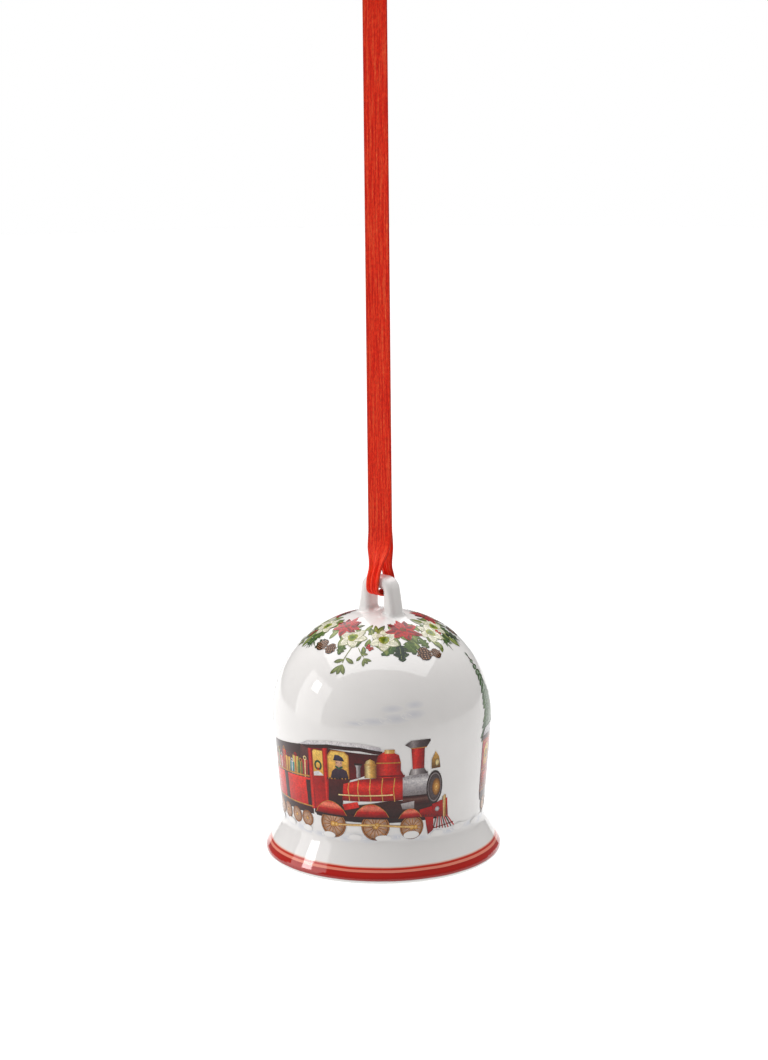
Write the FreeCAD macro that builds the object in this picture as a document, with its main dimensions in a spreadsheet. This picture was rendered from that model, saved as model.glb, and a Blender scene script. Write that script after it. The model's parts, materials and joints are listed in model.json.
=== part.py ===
import FreeCAD, Part
import math
import os
import Sketcher

# A porcelain bell ornament that hangs from a doubled satin ribbon.
# Millimetres, +Z up. The origin is where a hook carries the ribbon's eye.
# Every piece is drawn with the bell's foot at height zero and then lowered by HANG.

SIZES = (
    ("body_radius", 27.75, "largest radius of the bell's body"),
    ("shoulder_height", 36.8, "height of the centre of the shoulder's curve"),
    ("shoulder_inset", 2.6, "distance of that centre from the axis"),
    ("crown_flattening", 5.1, "crown radius less shoulder radius"),
    ("cone_angle", 4.7, "degrees that the body narrows towards the waist"),
    ("waist_round", 3.5, "radius of the hollow above the rim"),
    ("flare_angle", 30.2, "degrees that the rim leans out"),
    ("rim_overhang", 2.25, "rim radius less body radius"),
    ("lip_round", 1.4, "radius of the rim's outer edge"),
    ("wall", 2.6, "thickness of the porcelain"),
    ("foot_width", 1.9, "flat ring that the bell stands on"),
    ("inner_flare_angle", 20.0, "degrees that the mouth opens inside"),
    ("inner_waist_round", 6.0, "radius of the bend above the mouth, inside"),
    ("inner_lip_round", 0.5, "radius of the foot ring's inner edge"),
    ("loop_leg", 2.9, "thickness of the loop's legs at their shoulders"),
    ("loop_lean", 10.0, "degrees that the loop's legs spread towards the crown"),
    ("loop_depth", 4.6, "thickness of the hanger loop"),
    ("loop_rise", 9.3, "height of the hanger loop above the crown"),
    ("loop_bar", 3.0, "height of the bar that the ribbon pulls on"),
    ("loop_corner", 3.6, "radius of the loop's upper corners"),
    ("loop_edge_round", 1.35, "radius of the loop's edges"),
    ("loop_base_round", 1.5, "radius where the loop runs into the crown"),
    ("loop_turn", 42.0, "degrees that the loop is turned from the front"),
    ("hole_side_gap", 0.3, "space on each side of the gathered ribbon in its hole"),
    ("hole_corner", 0.8, "radius of the hole's upper corners"),
    ("cement_radius", 5.0, "radius of the dab of cement under the crown"),
    ("cement_depth", 3.0, "depth of that dab"),
    ("staple_wire", 1.0, "diameter of the staple's wire"),
    ("staple_bend", 1.9, "radius of the staple's bend, at the wire's middle"),
    ("staple_drop", 8.4, "depth of the staple's bend below the crown"),
    ("staple_cover", 0.6, "cement above the staple's ends"),
    ("ring_wire", 0.8, "diameter of the jump ring's wire"),
    ("ring_radius", 2.2, "radius of the jump ring, at the wire's middle"),
    ("stem_wire", 1.0, "diameter of the clapper's wire"),
    ("eye_radius", 1.9, "radius of the clapper wire's eye"),
    ("wire_gap", 0.15, "play between two wires that hook together"),
    ("wrap_wire", 0.8, "diameter of the turns that close the eye"),
    ("ball_radius", 6.5, "radius of the clapper ball"),
    ("ball_height", 13.0, "height of the ball's middle above the foot"),
    ("ball_flat", 1.7, "radius of the flats at the ball's bore"),
    ("bore_gap", 0.05, "play round the wire in its bore"),
    ("ferrule_radius", 1.3, "radius of the crimped ferrule"),
    ("ferrule_length", 1.8, "length of the ferrule"),
    ("stem_end", 0.5, "wire that shows below the ferrule"),
    ("ribbon_width", 6.0, "width of the satin ribbon"),
    ("ribbon_thickness", 0.4, "thickness of the satin ribbon"),
    ("gathered_width", 4.0, "width of the ribbon where it is gathered under the bar"),
    ("gathered_rise", 3.2, "height above the bar's axis to which it stays gathered"),
    ("sling_gap", 0.22, "play round the bar as it turns in the ribbon"),
    ("strand_length", 148.5, "height of the strands, bar to knot"),
    ("strand_join", 80.0, "height above the bar at which the strands meet"),
    ("strand_lead", 8.0, "height over which the strands leave the bar upright"),
    ("strand_gap", 0.3, "space between the strands where they meet"),
    ("knot_overhang", 2.0, "how far the knot stands out past each edge of the ribbon"),
    ("knot_depth", 5.5, "depth of the knot"),
    ("knot_height", 6.0, "height of the knot"),
    ("knot_round", 1.2, "radius of the knot's edges"),
    ("hook_radius", 3.5, "inner radius of the hanging eye"),
    ("hook_rise", 9.0, "height of the eye's centre above the knot"),
    ("hook_taper", 20.0, "degrees that the eye's legs lean together"),
)

WRAPS = 3

# Share of the wire that each turn of the wrap climbs, and how deep the wrap bites the shank.
WRAP_CLIMB = "0.95"
WRAP_BITE = "0.05"

# Room past the rounding of the loop's base: in the blank that carries it, and to find its edges.
SEAT_MARGIN = "1.2"
EDGE_MARGIN = "1"

# The cut ends of the ribbon go out and up from the knot in these steps.
TAIL_STEPS = ((0, 0), (3.2, 0), (5.8, 2.4), (7.2, 6.2))

# Depth below the crown's top to which the loop's blank is drawn, before its underside is cut to the crown.
LEG_DEPTH = "3"
SEAT_DEPTH = "3.5"

# Heights above the foot, as formulas of the sheet's values.
LIP_RADIUS = "(Sizes.body_radius + Sizes.rim_overhang)"
SHOULDER_RADIUS = "(Sizes.body_radius - Sizes.shoulder_inset)"
CROWN_RADIUS = f"({SHOULDER_RADIUS} + Sizes.crown_flattening)"
CROWN_CENTRE = "(Sizes.shoulder_height - sqrt(Sizes.crown_flattening^2 - Sizes.shoulder_inset^2))"
CROWN_TOP = f"({CROWN_CENTRE} + {CROWN_RADIUS})"
CROWN_INSIDE = f"({CROWN_TOP} - Sizes.wall)"
LOOP_TOP = f"({CROWN_TOP} + Sizes.loop_rise)"
HOLE_HALF = "(Sizes.gathered_width / 2 + Sizes.hole_side_gap)"
LOOP_HALF = f"({HOLE_HALF} + Sizes.loop_leg)"
LOOP_FOOT = f"({LOOP_HALF} + Sizes.loop_rise * tan(Sizes.loop_lean * 1 deg))"
HOLE_TOP = f"({LOOP_TOP} - Sizes.loop_bar)"
SWING_AXIS = f"({LOOP_TOP} - Sizes.loop_bar / 2)"
STAPLE_AXIS = f"({CROWN_INSIDE} - Sizes.staple_drop)"
RING_OVER_STAPLE = "((Sizes.staple_wire + Sizes.ring_wire) / 2 + Sizes.wire_gap)"
RING_CENTRE = f"({STAPLE_AXIS} + {RING_OVER_STAPLE} - Sizes.ring_radius)"
RING_AXIS = f"({RING_CENTRE} - Sizes.ring_radius)"
EYE_OVER_RING = "((Sizes.ring_wire + Sizes.stem_wire) / 2 + Sizes.wire_gap)"
EYE_CENTRE = f"({RING_AXIS} + {EYE_OVER_RING} - Sizes.eye_radius)"
EYE_FOOT = f"({EYE_CENTRE} - Sizes.eye_radius)"
BALL_HALF = "sqrt(Sizes.ball_radius^2 - Sizes.ball_flat^2)"
FERRULE_TOP = f"(Sizes.ball_height - {BALL_HALF})"
STEM_FOOT = f"({FERRULE_TOP} - Sizes.ferrule_length - Sizes.stem_end)"
KNOT_WIDTH = "(Sizes.ribbon_width + 2 * Sizes.knot_overhang)"
KNOT_FOOT = f"({SWING_AXIS} + Sizes.strand_length)"
KNOT_TOP = f"({KNOT_FOOT} + Sizes.knot_height)"
HOOK_CENTRE = f"({KNOT_TOP} + Sizes.hook_rise)"
HANG = f"({HOOK_CENTRE} + Sizes.hook_radius)"

# The bar's section turns inside the ribbon, so the sling clears its furthest corner.
BAR_CORNER = (
    "(sqrt((Sizes.loop_depth / 2 - Sizes.loop_edge_round)^2"
    " + (Sizes.loop_bar / 2 - Sizes.loop_edge_round)^2) + Sizes.loop_edge_round)"
)
SLING_RADIUS = f"({BAR_CORNER} + Sizes.sling_gap)"

doc = FreeCAD.newDocument("bell_ornament")
sheet = doc.addObject("Spreadsheet::Sheet", "Sizes")
for row, (alias, number, meaning) in enumerate(SIZES, start=1):
    sheet.set(f"A{row}", meaning)
    sheet.set(f"B{row}", str(number))
    sheet.setAlias(f"B{row}", alias)
doc.recompute()

PARTS = []


def value(formula):
    """Number that a formula of the sheet's cells stands for."""
    return float(sheet.evalExpression(formula))


def keep(thing, label):
    """Names a finished sub-part and lists it for export."""
    thing.Label = label
    PARTS.append(thing)
    return thing


def settle(thing, height="0", turned=False):
    """Lowers a sub-part to its place under the hook, and turns it with the hanger loop if asked."""
    turn = value("Sizes.loop_turn") if turned else 0
    base = FreeCAD.Vector(0, 0, value(f"{height} - {HANG}"))
    thing.Placement = FreeCAD.Placement(base, FreeCAD.Rotation(FreeCAD.Vector(0, 0, -1), turn))
    thing.setExpression(".Placement.Base.z", f"{height} - {HANG}")
    if turned:
        thing.setExpression(".Placement.Rotation.Angle", "Sizes.loop_turn")


def new_body(name):
    return doc.addObject("PartDesign::Body", name)


def new_sketch(body, name, plane, height=None):
    """Sketch on one of the body's own planes, raised by a formula if given."""
    sketch = body.newObject("Sketcher::SketchObject", name)
    support = next(f for f in body.Origin.OriginFeatures if f.Role == plane)
    sketch.AttachmentSupport = [(support, "")]
    sketch.MapMode = "FlatFace"
    if height:
        sketch.AttachmentOffset = FreeCAD.Placement(FreeCAD.Vector(0, 0, value(height)), FreeCAD.Rotation())
        sketch.setExpression(".AttachmentOffset.Base.z", height)
    return sketch


def point(u, v):
    return FreeCAD.Vector(u, v, 0)


def line(start, end):
    return Part.LineSegment(point(*start), point(*end))


def arc(centre, radius, first, last):
    """Arc drawn anticlockwise between two angles in degrees."""
    circle = Part.Circle(point(*centre), FreeCAD.Vector(0, 0, 1), radius)
    return Part.ArcOfCircle(circle, math.radians(first), math.radians(last))


def around(centre, radius, degrees):
    """Point on a circle."""
    angle = math.radians(degrees)
    return (centre[0] + radius * math.cos(angle), centre[1] + radius * math.sin(angle))


def outline(sketch, curves, smooth=()):
    """Adds a closed run of curves, joined end to end. smooth lists the joins that are tangent."""
    first = sketch.GeometryCount
    sketch.addGeometry(curves, False)
    for index, curve in enumerate(curves):
        after = (index + 1) % len(curves)
        ends = ((1, curve.StartPoint), (2, curve.EndPoint))
        starts = ((1, curves[after].StartPoint), (2, curves[after].EndPoint))
        pairs = [(a.distanceToPoint(b), i, j) for i, a in ends for j, b in starts]
        nearest = min(pairs)
        kind = "Tangent" if index in smooth else "Coincident"
        join = Sketcher.Constraint(kind, first + index, nearest[1], first + after, nearest[2])
        sketch.addConstraint(join)
    return first


def drive(sketch, kind, *where, formula):
    """Adds a dimension that the sheet sets."""
    number = value(formula)
    if kind == "Angle":
        number = math.radians(number)
    index = sketch.addConstraint(Sketcher.Constraint(kind, *where, number))
    unit = "deg" if kind == "Angle" else "mm"
    sketch.setExpression(f"Constraints[{index}]", f"({formula}) * 1 {unit}")


def hold(sketch, kind, *where):
    sketch.addConstraint(Sketcher.Constraint(kind, *where))


def revolve(body, sketch, cut=False):
    """Turns a sketch a full circle about the upright axis, to add or to remove."""
    feature = body.newObject("PartDesign::Groove" if cut else "PartDesign::Revolution", f"{sketch.Name}_turned")
    feature.Profile = sketch
    feature.ReferenceAxis = (sketch, ["V_Axis"])
    feature.Angle = 360
    return feature


def pad(body, sketch, formula, both_ways=True):
    feature = body.newObject("PartDesign::Pad", f"{sketch.Name}_pad")
    feature.Profile = sketch
    feature.Midplane = both_ways
    feature.setExpression("Length", formula)
    return feature


def round_edges(body, base, edges, formula):
    feature = body.newObject("PartDesign::Fillet", f"{base.Name}_rounded")
    feature.Base = (base, edges)
    feature.setExpression("Radius", formula)
    return feature


def wall_profile(sketch, inset, flare, waist, lip_centre, lip_round, outer):
    """Half section of the bell's outer face, or of its hollow, as one closed outline."""
    cone, flare_turn = value("Sizes.cone_angle"), value(flare)
    shoulder = (value("Sizes.shoulder_inset"), value("Sizes.shoulder_height"))
    crown = (0, value(CROWN_CENTRE))
    shoulder_radius = value(f"{SHOULDER_RADIUS} - {inset}")
    crown_radius = value(f"{CROWN_RADIUS} - {inset}")
    meet = 90 - math.degrees(math.asin(value("Sizes.shoulder_inset / Sizes.crown_flattening")))
    lip = (value(lip_centre), value(lip_round))
    lip_angle = flare_turn if outer else 180 + flare_turn
    lip_top = around(lip, lip[1], lip_angle)
    cone_top = around(shoulder, shoulder_radius, -cone)
    # The cone line and the flare line cross at the corner that the waist's curve rounds.
    tan_cone = math.tan(math.radians(cone))
    tan_flare = math.tan(math.radians(flare_turn))
    gap = lip_top[0] + lip_top[1] * tan_flare - (cone_top[0] - cone_top[1] * tan_cone)
    corner_height = gap / (tan_cone + tan_flare)
    corner = (cone_top[0] - (cone_top[1] - corner_height) * tan_cone, corner_height)
    waist_radius = value(waist)
    reach = waist_radius * math.tan(math.radians((cone + flare_turn) / 2))
    waist_top = around(corner, reach, 90 - cone)
    waist_foot = around(corner, reach, flare_turn - 90)
    waist_centre = around(waist_top, waist_radius, -cone)
    foot = (lip[0], 0)
    top = (0, crown[1] + crown_radius)
    lip_arc = arc(lip, lip[1], -90, lip_angle) if outer else arc(lip, lip[1], lip_angle, 270)
    curves = [
        arc(crown, crown_radius, meet, 90),
        arc(shoulder, shoulder_radius, -cone, meet),
        line(waist_top, cone_top),
        arc(waist_centre, waist_radius, 180 - cone, 180 + flare_turn),
        line(lip_top, waist_foot),
        lip_arc,
        line(foot, (0, 0)),
        line((0, 0), top),
    ]
    outline(sketch, curves, smooth=(0, 1, 2, 3, 4, 5))
    hold(sketch, "Coincident", 6, 2, -1, 1)
    hold(sketch, "Horizontal", 6)
    hold(sketch, "Vertical", 7)
    hold(sketch, "PointOnObject", 0, 3, -2)
    drive(sketch, "Radius", 0, formula=f"{CROWN_RADIUS} - {inset}")
    drive(sketch, "Radius", 1, formula=f"{SHOULDER_RADIUS} - {inset}")
    drive(sketch, "DistanceX", -1, 1, 1, 3, formula="Sizes.shoulder_inset")
    drive(sketch, "DistanceY", -1, 1, 1, 3, formula="Sizes.shoulder_height")
    drive(sketch, "Angle", 2, formula="90 - Sizes.cone_angle")
    drive(sketch, "Radius", 3, formula=waist)
    drive(sketch, "Angle", 4, formula=f"90 + {flare}")
    drive(sketch, "Radius", 5, formula=lip_round)
    drive(sketch, "DistanceX", -1, 1, 5, 3, formula=lip_centre)


def build_bell_shell():
    """Cast porcelain body: a domed crown, a body that narrows to a waist, and a flared rim."""
    body = keep(new_body("bell_shell"), "bell_shell")
    outside = new_sketch(body, "shell_outside", "XZ_Plane")
    lip_centre = f"({LIP_RADIUS} - Sizes.lip_round)"
    wall_profile(outside, "0", "Sizes.flare_angle", "Sizes.waist_round", lip_centre, "Sizes.lip_round", True)
    revolve(body, outside)
    inside = new_sketch(body, "shell_inside", "XZ_Plane")
    foot_centre = f"({lip_centre} - Sizes.foot_width)"
    wall_profile(
        inside, "Sizes.wall", "Sizes.inner_flare_angle", "Sizes.inner_waist_round",
        foot_centre, "Sizes.inner_lip_round", False,
    )
    revolve(body, inside, cut=True)
    settle(body)


def crown_section(body, name):
    """Half section of the top of the crown, as wide as the loop's base needs."""
    sketch = new_sketch(body, name, "XZ_Plane")
    width = f"({LOOP_FOOT} + Sizes.loop_base_round + {SEAT_MARGIN})"
    half = value(width)
    centre = (0, value(CROWN_CENTRE))
    radius = value(CROWN_RADIUS)
    top = centre[1] + radius
    low = top - value(SEAT_DEPTH)
    edge = math.degrees(math.acos(half / radius))
    rim = around(centre, radius, edge)
    curves = [
        arc(centre, radius, edge, 90),
        line(rim, (half, low)),
        line((half, low), (0, low)),
        line((0, low), (0, top)),
    ]
    outline(sketch, curves)
    hold(sketch, "PointOnObject", 0, 3, -2)
    hold(sketch, "PointOnObject", 3, 1, -2)
    hold(sketch, "Vertical", 1)
    hold(sketch, "Horizontal", 2)
    hold(sketch, "Vertical", 3)
    drive(sketch, "Radius", 0, formula=CROWN_RADIUS)
    drive(sketch, "DistanceY", -1, 1, 0, 3, formula=CROWN_CENTRE)
    drive(sketch, "DistanceX", 2, 2, 2, 1, formula=width)
    drive(sketch, "DistanceY", 3, 1, 3, 2, formula=SEAT_DEPTH)
    return sketch


def loop_outline(sketch):
    """Face of the hanger loop: two legs that spread downwards, and a bar over an open hole."""
    half, corner = value(LOOP_HALF), value("Sizes.loop_corner")
    hole, hole_corner = value(HOLE_HALF), value("Sizes.hole_corner")
    top, under, low = value(LOOP_TOP), value(HOLE_TOP), value(f"{CROWN_TOP} - {LEG_DEPTH}")
    lean = value("Sizes.loop_lean")
    shoulder = (half - corner, top - corner)
    side = around(shoulder, corner, lean)
    foot = side[0] + (side[1] - low) * math.tan(math.radians(lean))
    curves = [
        line((foot, low), side),
        arc(shoulder, corner, lean, 90),
        line((shoulder[0], top), (-shoulder[0], top)),
        arc((-shoulder[0], shoulder[1]), corner, 90, 180 - lean),
        line((-foot, low), (-side[0], side[1])),
        line((-foot, low), (-hole, low)),
        line((-hole, low), (-hole, under - hole_corner)),
        arc((hole_corner - hole, under - hole_corner), hole_corner, 90, 180),
        line((hole_corner - hole, under), (hole - hole_corner, under)),
        arc((hole - hole_corner, under - hole_corner), hole_corner, 0, 90),
        line((hole, under - hole_corner), (hole, low)),
        line((hole, low), (foot, low)),
    ]
    outline(sketch, curves, smooth=(0, 1, 2, 3, 6, 7, 8, 9))
    for index in (6, 10):
        hold(sketch, "Vertical", index)
    for index in (2, 5, 8):
        hold(sketch, "Horizontal", index)
    hold(sketch, "Symmetric", 4, 1, 0, 1, -2)
    hold(sketch, "Symmetric", 6, 1, 10, 2, -2)
    for index in (1, 3):
        drive(sketch, "Radius", index, formula="Sizes.loop_corner")
    drive(sketch, "Angle", 0, formula="90 + Sizes.loop_lean")
    drive(sketch, "Angle", 4, formula="90 - Sizes.loop_lean")
    drive(sketch, "DistanceX", -1, 1, 1, 3, formula=f"{LOOP_HALF} - Sizes.loop_corner")
    for index in (7, 9):
        drive(sketch, "Radius", index, formula="Sizes.hole_corner")
    drive(sketch, "DistanceX", 6, 1, 10, 2, formula=f"2 * {HOLE_HALF}")
    drive(sketch, "DistanceY", -1, 1, 0, 1, formula=f"{CROWN_TOP} - {LEG_DEPTH}")
    drive(sketch, "DistanceY", -1, 1, 2, 1, formula=LOOP_TOP)
    drive(sketch, "DistanceY", -1, 1, 8, 1, formula=HOLE_TOP)


def edge_names(shape, test):
    return [f"Edge{n}" for n, edge in enumerate(shape.Edges, start=1) if test(edge)]


def build_hanger_loop():
    """Porcelain eyelet, moulded by itself and stuck on the crown with slip before firing."""
    body = keep(new_body("hanger_loop"), "hanger_loop")
    revolve(body, crown_section(body, "loop_seat"))
    sketch = new_sketch(body, "loop_face", "XZ_Plane")
    loop_outline(sketch)
    arch = pad(body, sketch, "Sizes.loop_depth")
    doc.recompute()
    side = value("Sizes.loop_depth / 2")
    centre = FreeCAD.Vector(0, 0, value(CROWN_CENTRE))
    radius = value(CROWN_RADIUS)
    reach = value(f"{LOOP_FOOT} + Sizes.loop_base_round + {EDGE_MARGIN}")

    def on_crown(edge):
        middle = edge.valueAt((edge.FirstParameter + edge.LastParameter) / 2)
        ends = [vertex.Point for vertex in edge.Vertexes] + [middle]
        near = all(abs(spot.distanceToPoint(centre) - radius) < 0.01 for spot in ends)
        return near and abs(middle.y) > 0.01 and math.hypot(middle.x, middle.y) < reach

    def on_side(edge):
        box = edge.BoundBox
        flat = abs(abs(box.YMin) - side) < 0.001 and abs(box.YMax - box.YMin) < 0.001
        return flat and not on_crown(edge)

    arch = round_edges(body, arch, edge_names(arch.Shape, on_side), "Sizes.loop_edge_round")
    doc.recompute()
    arch = round_edges(body, arch, edge_names(arch.Shape, on_crown), "Sizes.loop_base_round")
    revolve(body, crown_section(body, "loop_underside"), cut=True)
    settle(body, turned=True)


def build_staple():
    """Bent wire whose two ends are cemented under the crown. The jump ring hangs on its bend."""
    body = keep(new_body("clapper_staple"), "clapper_staple")
    bend = value("Sizes.staple_bend")
    top = value(f"{CROWN_INSIDE} - Sizes.staple_cover")
    centre = value(f"{STAPLE_AXIS} + Sizes.staple_bend")
    section = new_sketch(body, "staple_section", "XY_Plane", f"{CROWN_INSIDE} - Sizes.staple_cover")
    section.addGeometry(Part.Circle(point(-bend, 0), FreeCAD.Vector(0, 0, 1), value("Sizes.staple_wire / 2")))
    hold(section, "PointOnObject", 0, 3, -1)
    drive(section, "DistanceX", 0, 3, -1, 1, formula="Sizes.staple_bend")
    drive(section, "Radius", 0, formula="Sizes.staple_wire / 2")
    path = new_sketch(body, "staple_path", "XZ_Plane")
    path.addGeometry([
        line((-bend, top), (-bend, centre)),
        arc((0, centre), bend, 180, 360),
        line((bend, centre), (bend, top)),
    ])
    hold(path, "Tangent", 0, 2, 1, 1)
    hold(path, "Tangent", 1, 2, 2, 1)
    hold(path, "Vertical", 0)
    hold(path, "Vertical", 2)
    hold(path, "PointOnObject", 1, 3, -2)
    drive(path, "Radius", 1, formula="Sizes.staple_bend")
    drive(path, "DistanceY", -1, 1, 1, 3, formula=f"{STAPLE_AXIS} + Sizes.staple_bend")
    drive(path, "DistanceY", -1, 1, 0, 1, formula=f"{CROWN_INSIDE} - Sizes.staple_cover")
    drive(path, "DistanceY", -1, 1, 2, 2, formula=f"{CROWN_INSIDE} - Sizes.staple_cover")
    pipe = body.newObject("PartDesign::AdditivePipe", "staple_bent")
    pipe.Profile = section
    pipe.Spine = path
    settle(body)
    return body


def build_cement(staple):
    """Dab of cement that fills the crown round the staple's ends."""
    body = new_body("cement_dab")
    sketch = new_sketch(body, "cement_section", "XZ_Plane")
    centre = (0, value(CROWN_CENTRE))
    radius = value(f"{CROWN_RADIUS} - Sizes.wall")
    half = value("Sizes.cement_radius")
    edge = math.degrees(math.acos(half / radius))
    rim = around(centre, radius, edge)
    low = value(f"{CROWN_INSIDE} - Sizes.cement_depth")
    drop = rim[1] - low
    dab = (half**2 + drop**2) / (2 * drop)
    rim_angle = math.degrees(math.atan2(rim[1] - low - dab, half))
    curves = [
        arc(centre, radius, edge, 90),
        arc((0, low + dab), dab, -90, rim_angle),
        line((0, low), (0, centre[1] + radius)),
    ]
    outline(sketch, curves)
    hold(sketch, "PointOnObject", 0, 3, -2)
    hold(sketch, "PointOnObject", 1, 3, -2)
    hold(sketch, "PointOnObject", 2, 1, -2)
    hold(sketch, "Vertical", 2)
    drive(sketch, "Radius", 0, formula=f"{CROWN_RADIUS} - Sizes.wall")
    drive(sketch, "DistanceY", -1, 1, 0, 3, formula=CROWN_CENTRE)
    drive(sketch, "DistanceX", -1, 1, 0, 1, formula="Sizes.cement_radius")
    drive(sketch, "DistanceY", -1, 1, 2, 1, formula=f"{CROWN_INSIDE} - Sizes.cement_depth")
    revolve(body, sketch)
    settle(body)
    cut = keep(doc.addObject("Part::Cut", "crown_cement"), "crown_cement")
    cut.Base = body
    cut.Tool = staple


def new_torus(name, ring, wire, height, axis, degrees):
    """Ring of round wire, turned about an axis and placed at a height."""
    torus = doc.addObject("Part::Torus", name)
    torus.setExpression("Radius1", ring)
    torus.setExpression("Radius2", f"{wire} / 2")
    base = FreeCAD.Vector(0, 0, value(f"{height} - {HANG}"))
    torus.Placement = FreeCAD.Placement(base, FreeCAD.Rotation(FreeCAD.Vector(*axis), degrees))
    torus.setExpression(".Placement.Base.z", f"{height} - {HANG}")
    return torus


def build_jump_ring():
    """Closed wire ring between the staple and the clapper's eye."""
    ring = new_torus("jump_ring", "Sizes.ring_radius", "Sizes.ring_wire", RING_CENTRE, (0, 1, 0), 90)
    keep(ring, "jump_ring")


def build_clapper_stem():
    """Clapper wire: an eye at the top, its end wrapped round the shank, and a straight shank."""
    eye = new_torus("stem_eye", "Sizes.eye_radius", "Sizes.stem_wire", EYE_CENTRE, (1, 0, 0), 90)
    shank = doc.addObject("Part::Cylinder", "stem_shank")
    shank.setExpression("Radius", "Sizes.stem_wire / 2")
    shank.setExpression("Height", f"{EYE_FOOT} - {STEM_FOOT}")
    settle(shank, STEM_FOOT)
    wire = [eye, shank]
    for turn in range(WRAPS):
        height = f"({EYE_FOOT} - Sizes.stem_wire / 2 - {turn + 0.5} * Sizes.wrap_wire * {WRAP_CLIMB})"
        around_shank = f"(Sizes.stem_wire + Sizes.wrap_wire) / 2 - {WRAP_BITE}"
        wire.append(new_torus(f"stem_wrap_{turn + 1}", around_shank, "Sizes.wrap_wire", height, (0, 0, 1), 0))
    stem = keep(doc.addObject("Part::MultiFuse", "clapper_stem"), "clapper_stem")
    stem.Shapes = wire


def build_clapper_ball():
    """Glazed porcelain ball, bored through for the wire, with a small flat at each end of the bore."""
    body = keep(new_body("clapper_ball"), "clapper_ball")
    sketch = new_sketch(body, "ball_section", "XZ_Plane")
    middle = value("Sizes.ball_height")
    radius, flat = value("Sizes.ball_radius"), value("Sizes.ball_flat")
    bore = value("Sizes.stem_wire / 2 + Sizes.bore_gap")
    half = value(BALL_HALF)
    angle = math.degrees(math.acos(flat / radius))
    curves = [
        line((bore, middle - half), (flat, middle - half)),
        arc((0, middle), radius, -angle, angle),
        line((flat, middle + half), (bore, middle + half)),
        line((bore, middle + half), (bore, middle - half)),
    ]
    outline(sketch, curves)
    hold(sketch, "Horizontal", 0)
    hold(sketch, "Horizontal", 2)
    hold(sketch, "Vertical", 3)
    hold(sketch, "PointOnObject", 1, 3, -2)
    drive(sketch, "Radius", 1, formula="Sizes.ball_radius")
    drive(sketch, "DistanceY", -1, 1, 1, 3, formula="Sizes.ball_height")
    drive(sketch, "DistanceX", -1, 1, 0, 2, formula="Sizes.ball_flat")
    drive(sketch, "DistanceX", -1, 1, 2, 1, formula="Sizes.ball_flat")
    drive(sketch, "DistanceX", -1, 1, 0, 1, formula="Sizes.stem_wire / 2 + Sizes.bore_gap")
    revolve(body, sketch)
    settle(body)


def build_ferrule():
    """Crimped brass sleeve that keeps the ball on its wire."""
    body = keep(new_body("clapper_ferrule"), "clapper_ferrule")
    sketch = new_sketch(body, "ferrule_section", "XY_Plane", f"{FERRULE_TOP} - Sizes.ferrule_length")
    for formula in ("Sizes.ferrule_radius", "Sizes.stem_wire / 2 + Sizes.bore_gap"):
        circle = Part.Circle(point(0, 0), FreeCAD.Vector(0, 0, 1), value(formula))
        index = sketch.addGeometry(circle)
        hold(sketch, "Coincident", index, 3, -1, 1)
        drive(sketch, "Radius", index, formula=formula)
    sleeve = pad(body, sketch, "Sizes.ferrule_length", both_ways=False)
    doc.recompute()
    low = value(f"{FERRULE_TOP} - Sizes.ferrule_length")
    radius = value("Sizes.ferrule_radius")

    def low_rim(edge):
        box = edge.BoundBox
        return abs(box.ZMax - low) < 0.001 and abs(box.XMax - radius) < 0.001

    round_edges(body, sleeve, edge_names(sleeve.Shape, low_rim), "Sizes.ferrule_radius / 4")
    settle(body)


def bent_route(points):
    """Straight runs and tangent arcs through a route's points. Each arc is as large as its runs allow."""
    pieces = []
    start = points[0]
    for before, corner, after in zip(points, points[1:], points[2:]):
        run_in, run_out = math.dist(before, corner), math.dist(corner, after)
        heading = math.atan2(corner[1] - before[1], corner[0] - before[0])
        leaving = math.atan2(after[1] - corner[1], after[0] - corner[0])
        turn = (leaving - heading + math.pi) % (2 * math.pi) - math.pi
        reach = 0.45 * min(run_in, run_out)
        radius = reach / math.tan(abs(turn) / 2)
        print(f"ribbon bend of radius {radius:.1f} mm through {math.degrees(turn):.1f} degrees")
        first = (corner[0] - reach * math.cos(heading), corner[1] - reach * math.sin(heading))
        last = (corner[0] + reach * math.cos(leaving), corner[1] + reach * math.sin(leaving))
        side = math.copysign(1, turn)
        centre = (first[0] - side * radius * math.sin(heading), first[1] + side * radius * math.cos(heading))
        pieces.append(("run", start, first))
        pieces.append(("bend", centre, radius, heading, turn))
        start = last
    pieces.append(("run", start, points[-1]))
    return pieces


def beside(piece, offset):
    """One piece of a route, moved sideways by an offset: positive is to the left of the way it runs."""
    if piece[0] == "run":
        start, end = piece[1:]
        length = math.dist(start, end)
        across = (-(end[1] - start[1]) / length * offset, (end[0] - start[0]) / length * offset)
        return line((start[0] + across[0], start[1] + across[1]), (end[0] + across[0], end[1] + across[1]))
    centre, radius, heading, turn = piece[1:]
    side = math.copysign(1, turn)
    first = math.degrees(heading - side * math.pi / 2)
    last = first + math.degrees(turn)
    return arc(centre, radius - side * offset, min(first, last), max(first, last))


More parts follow.
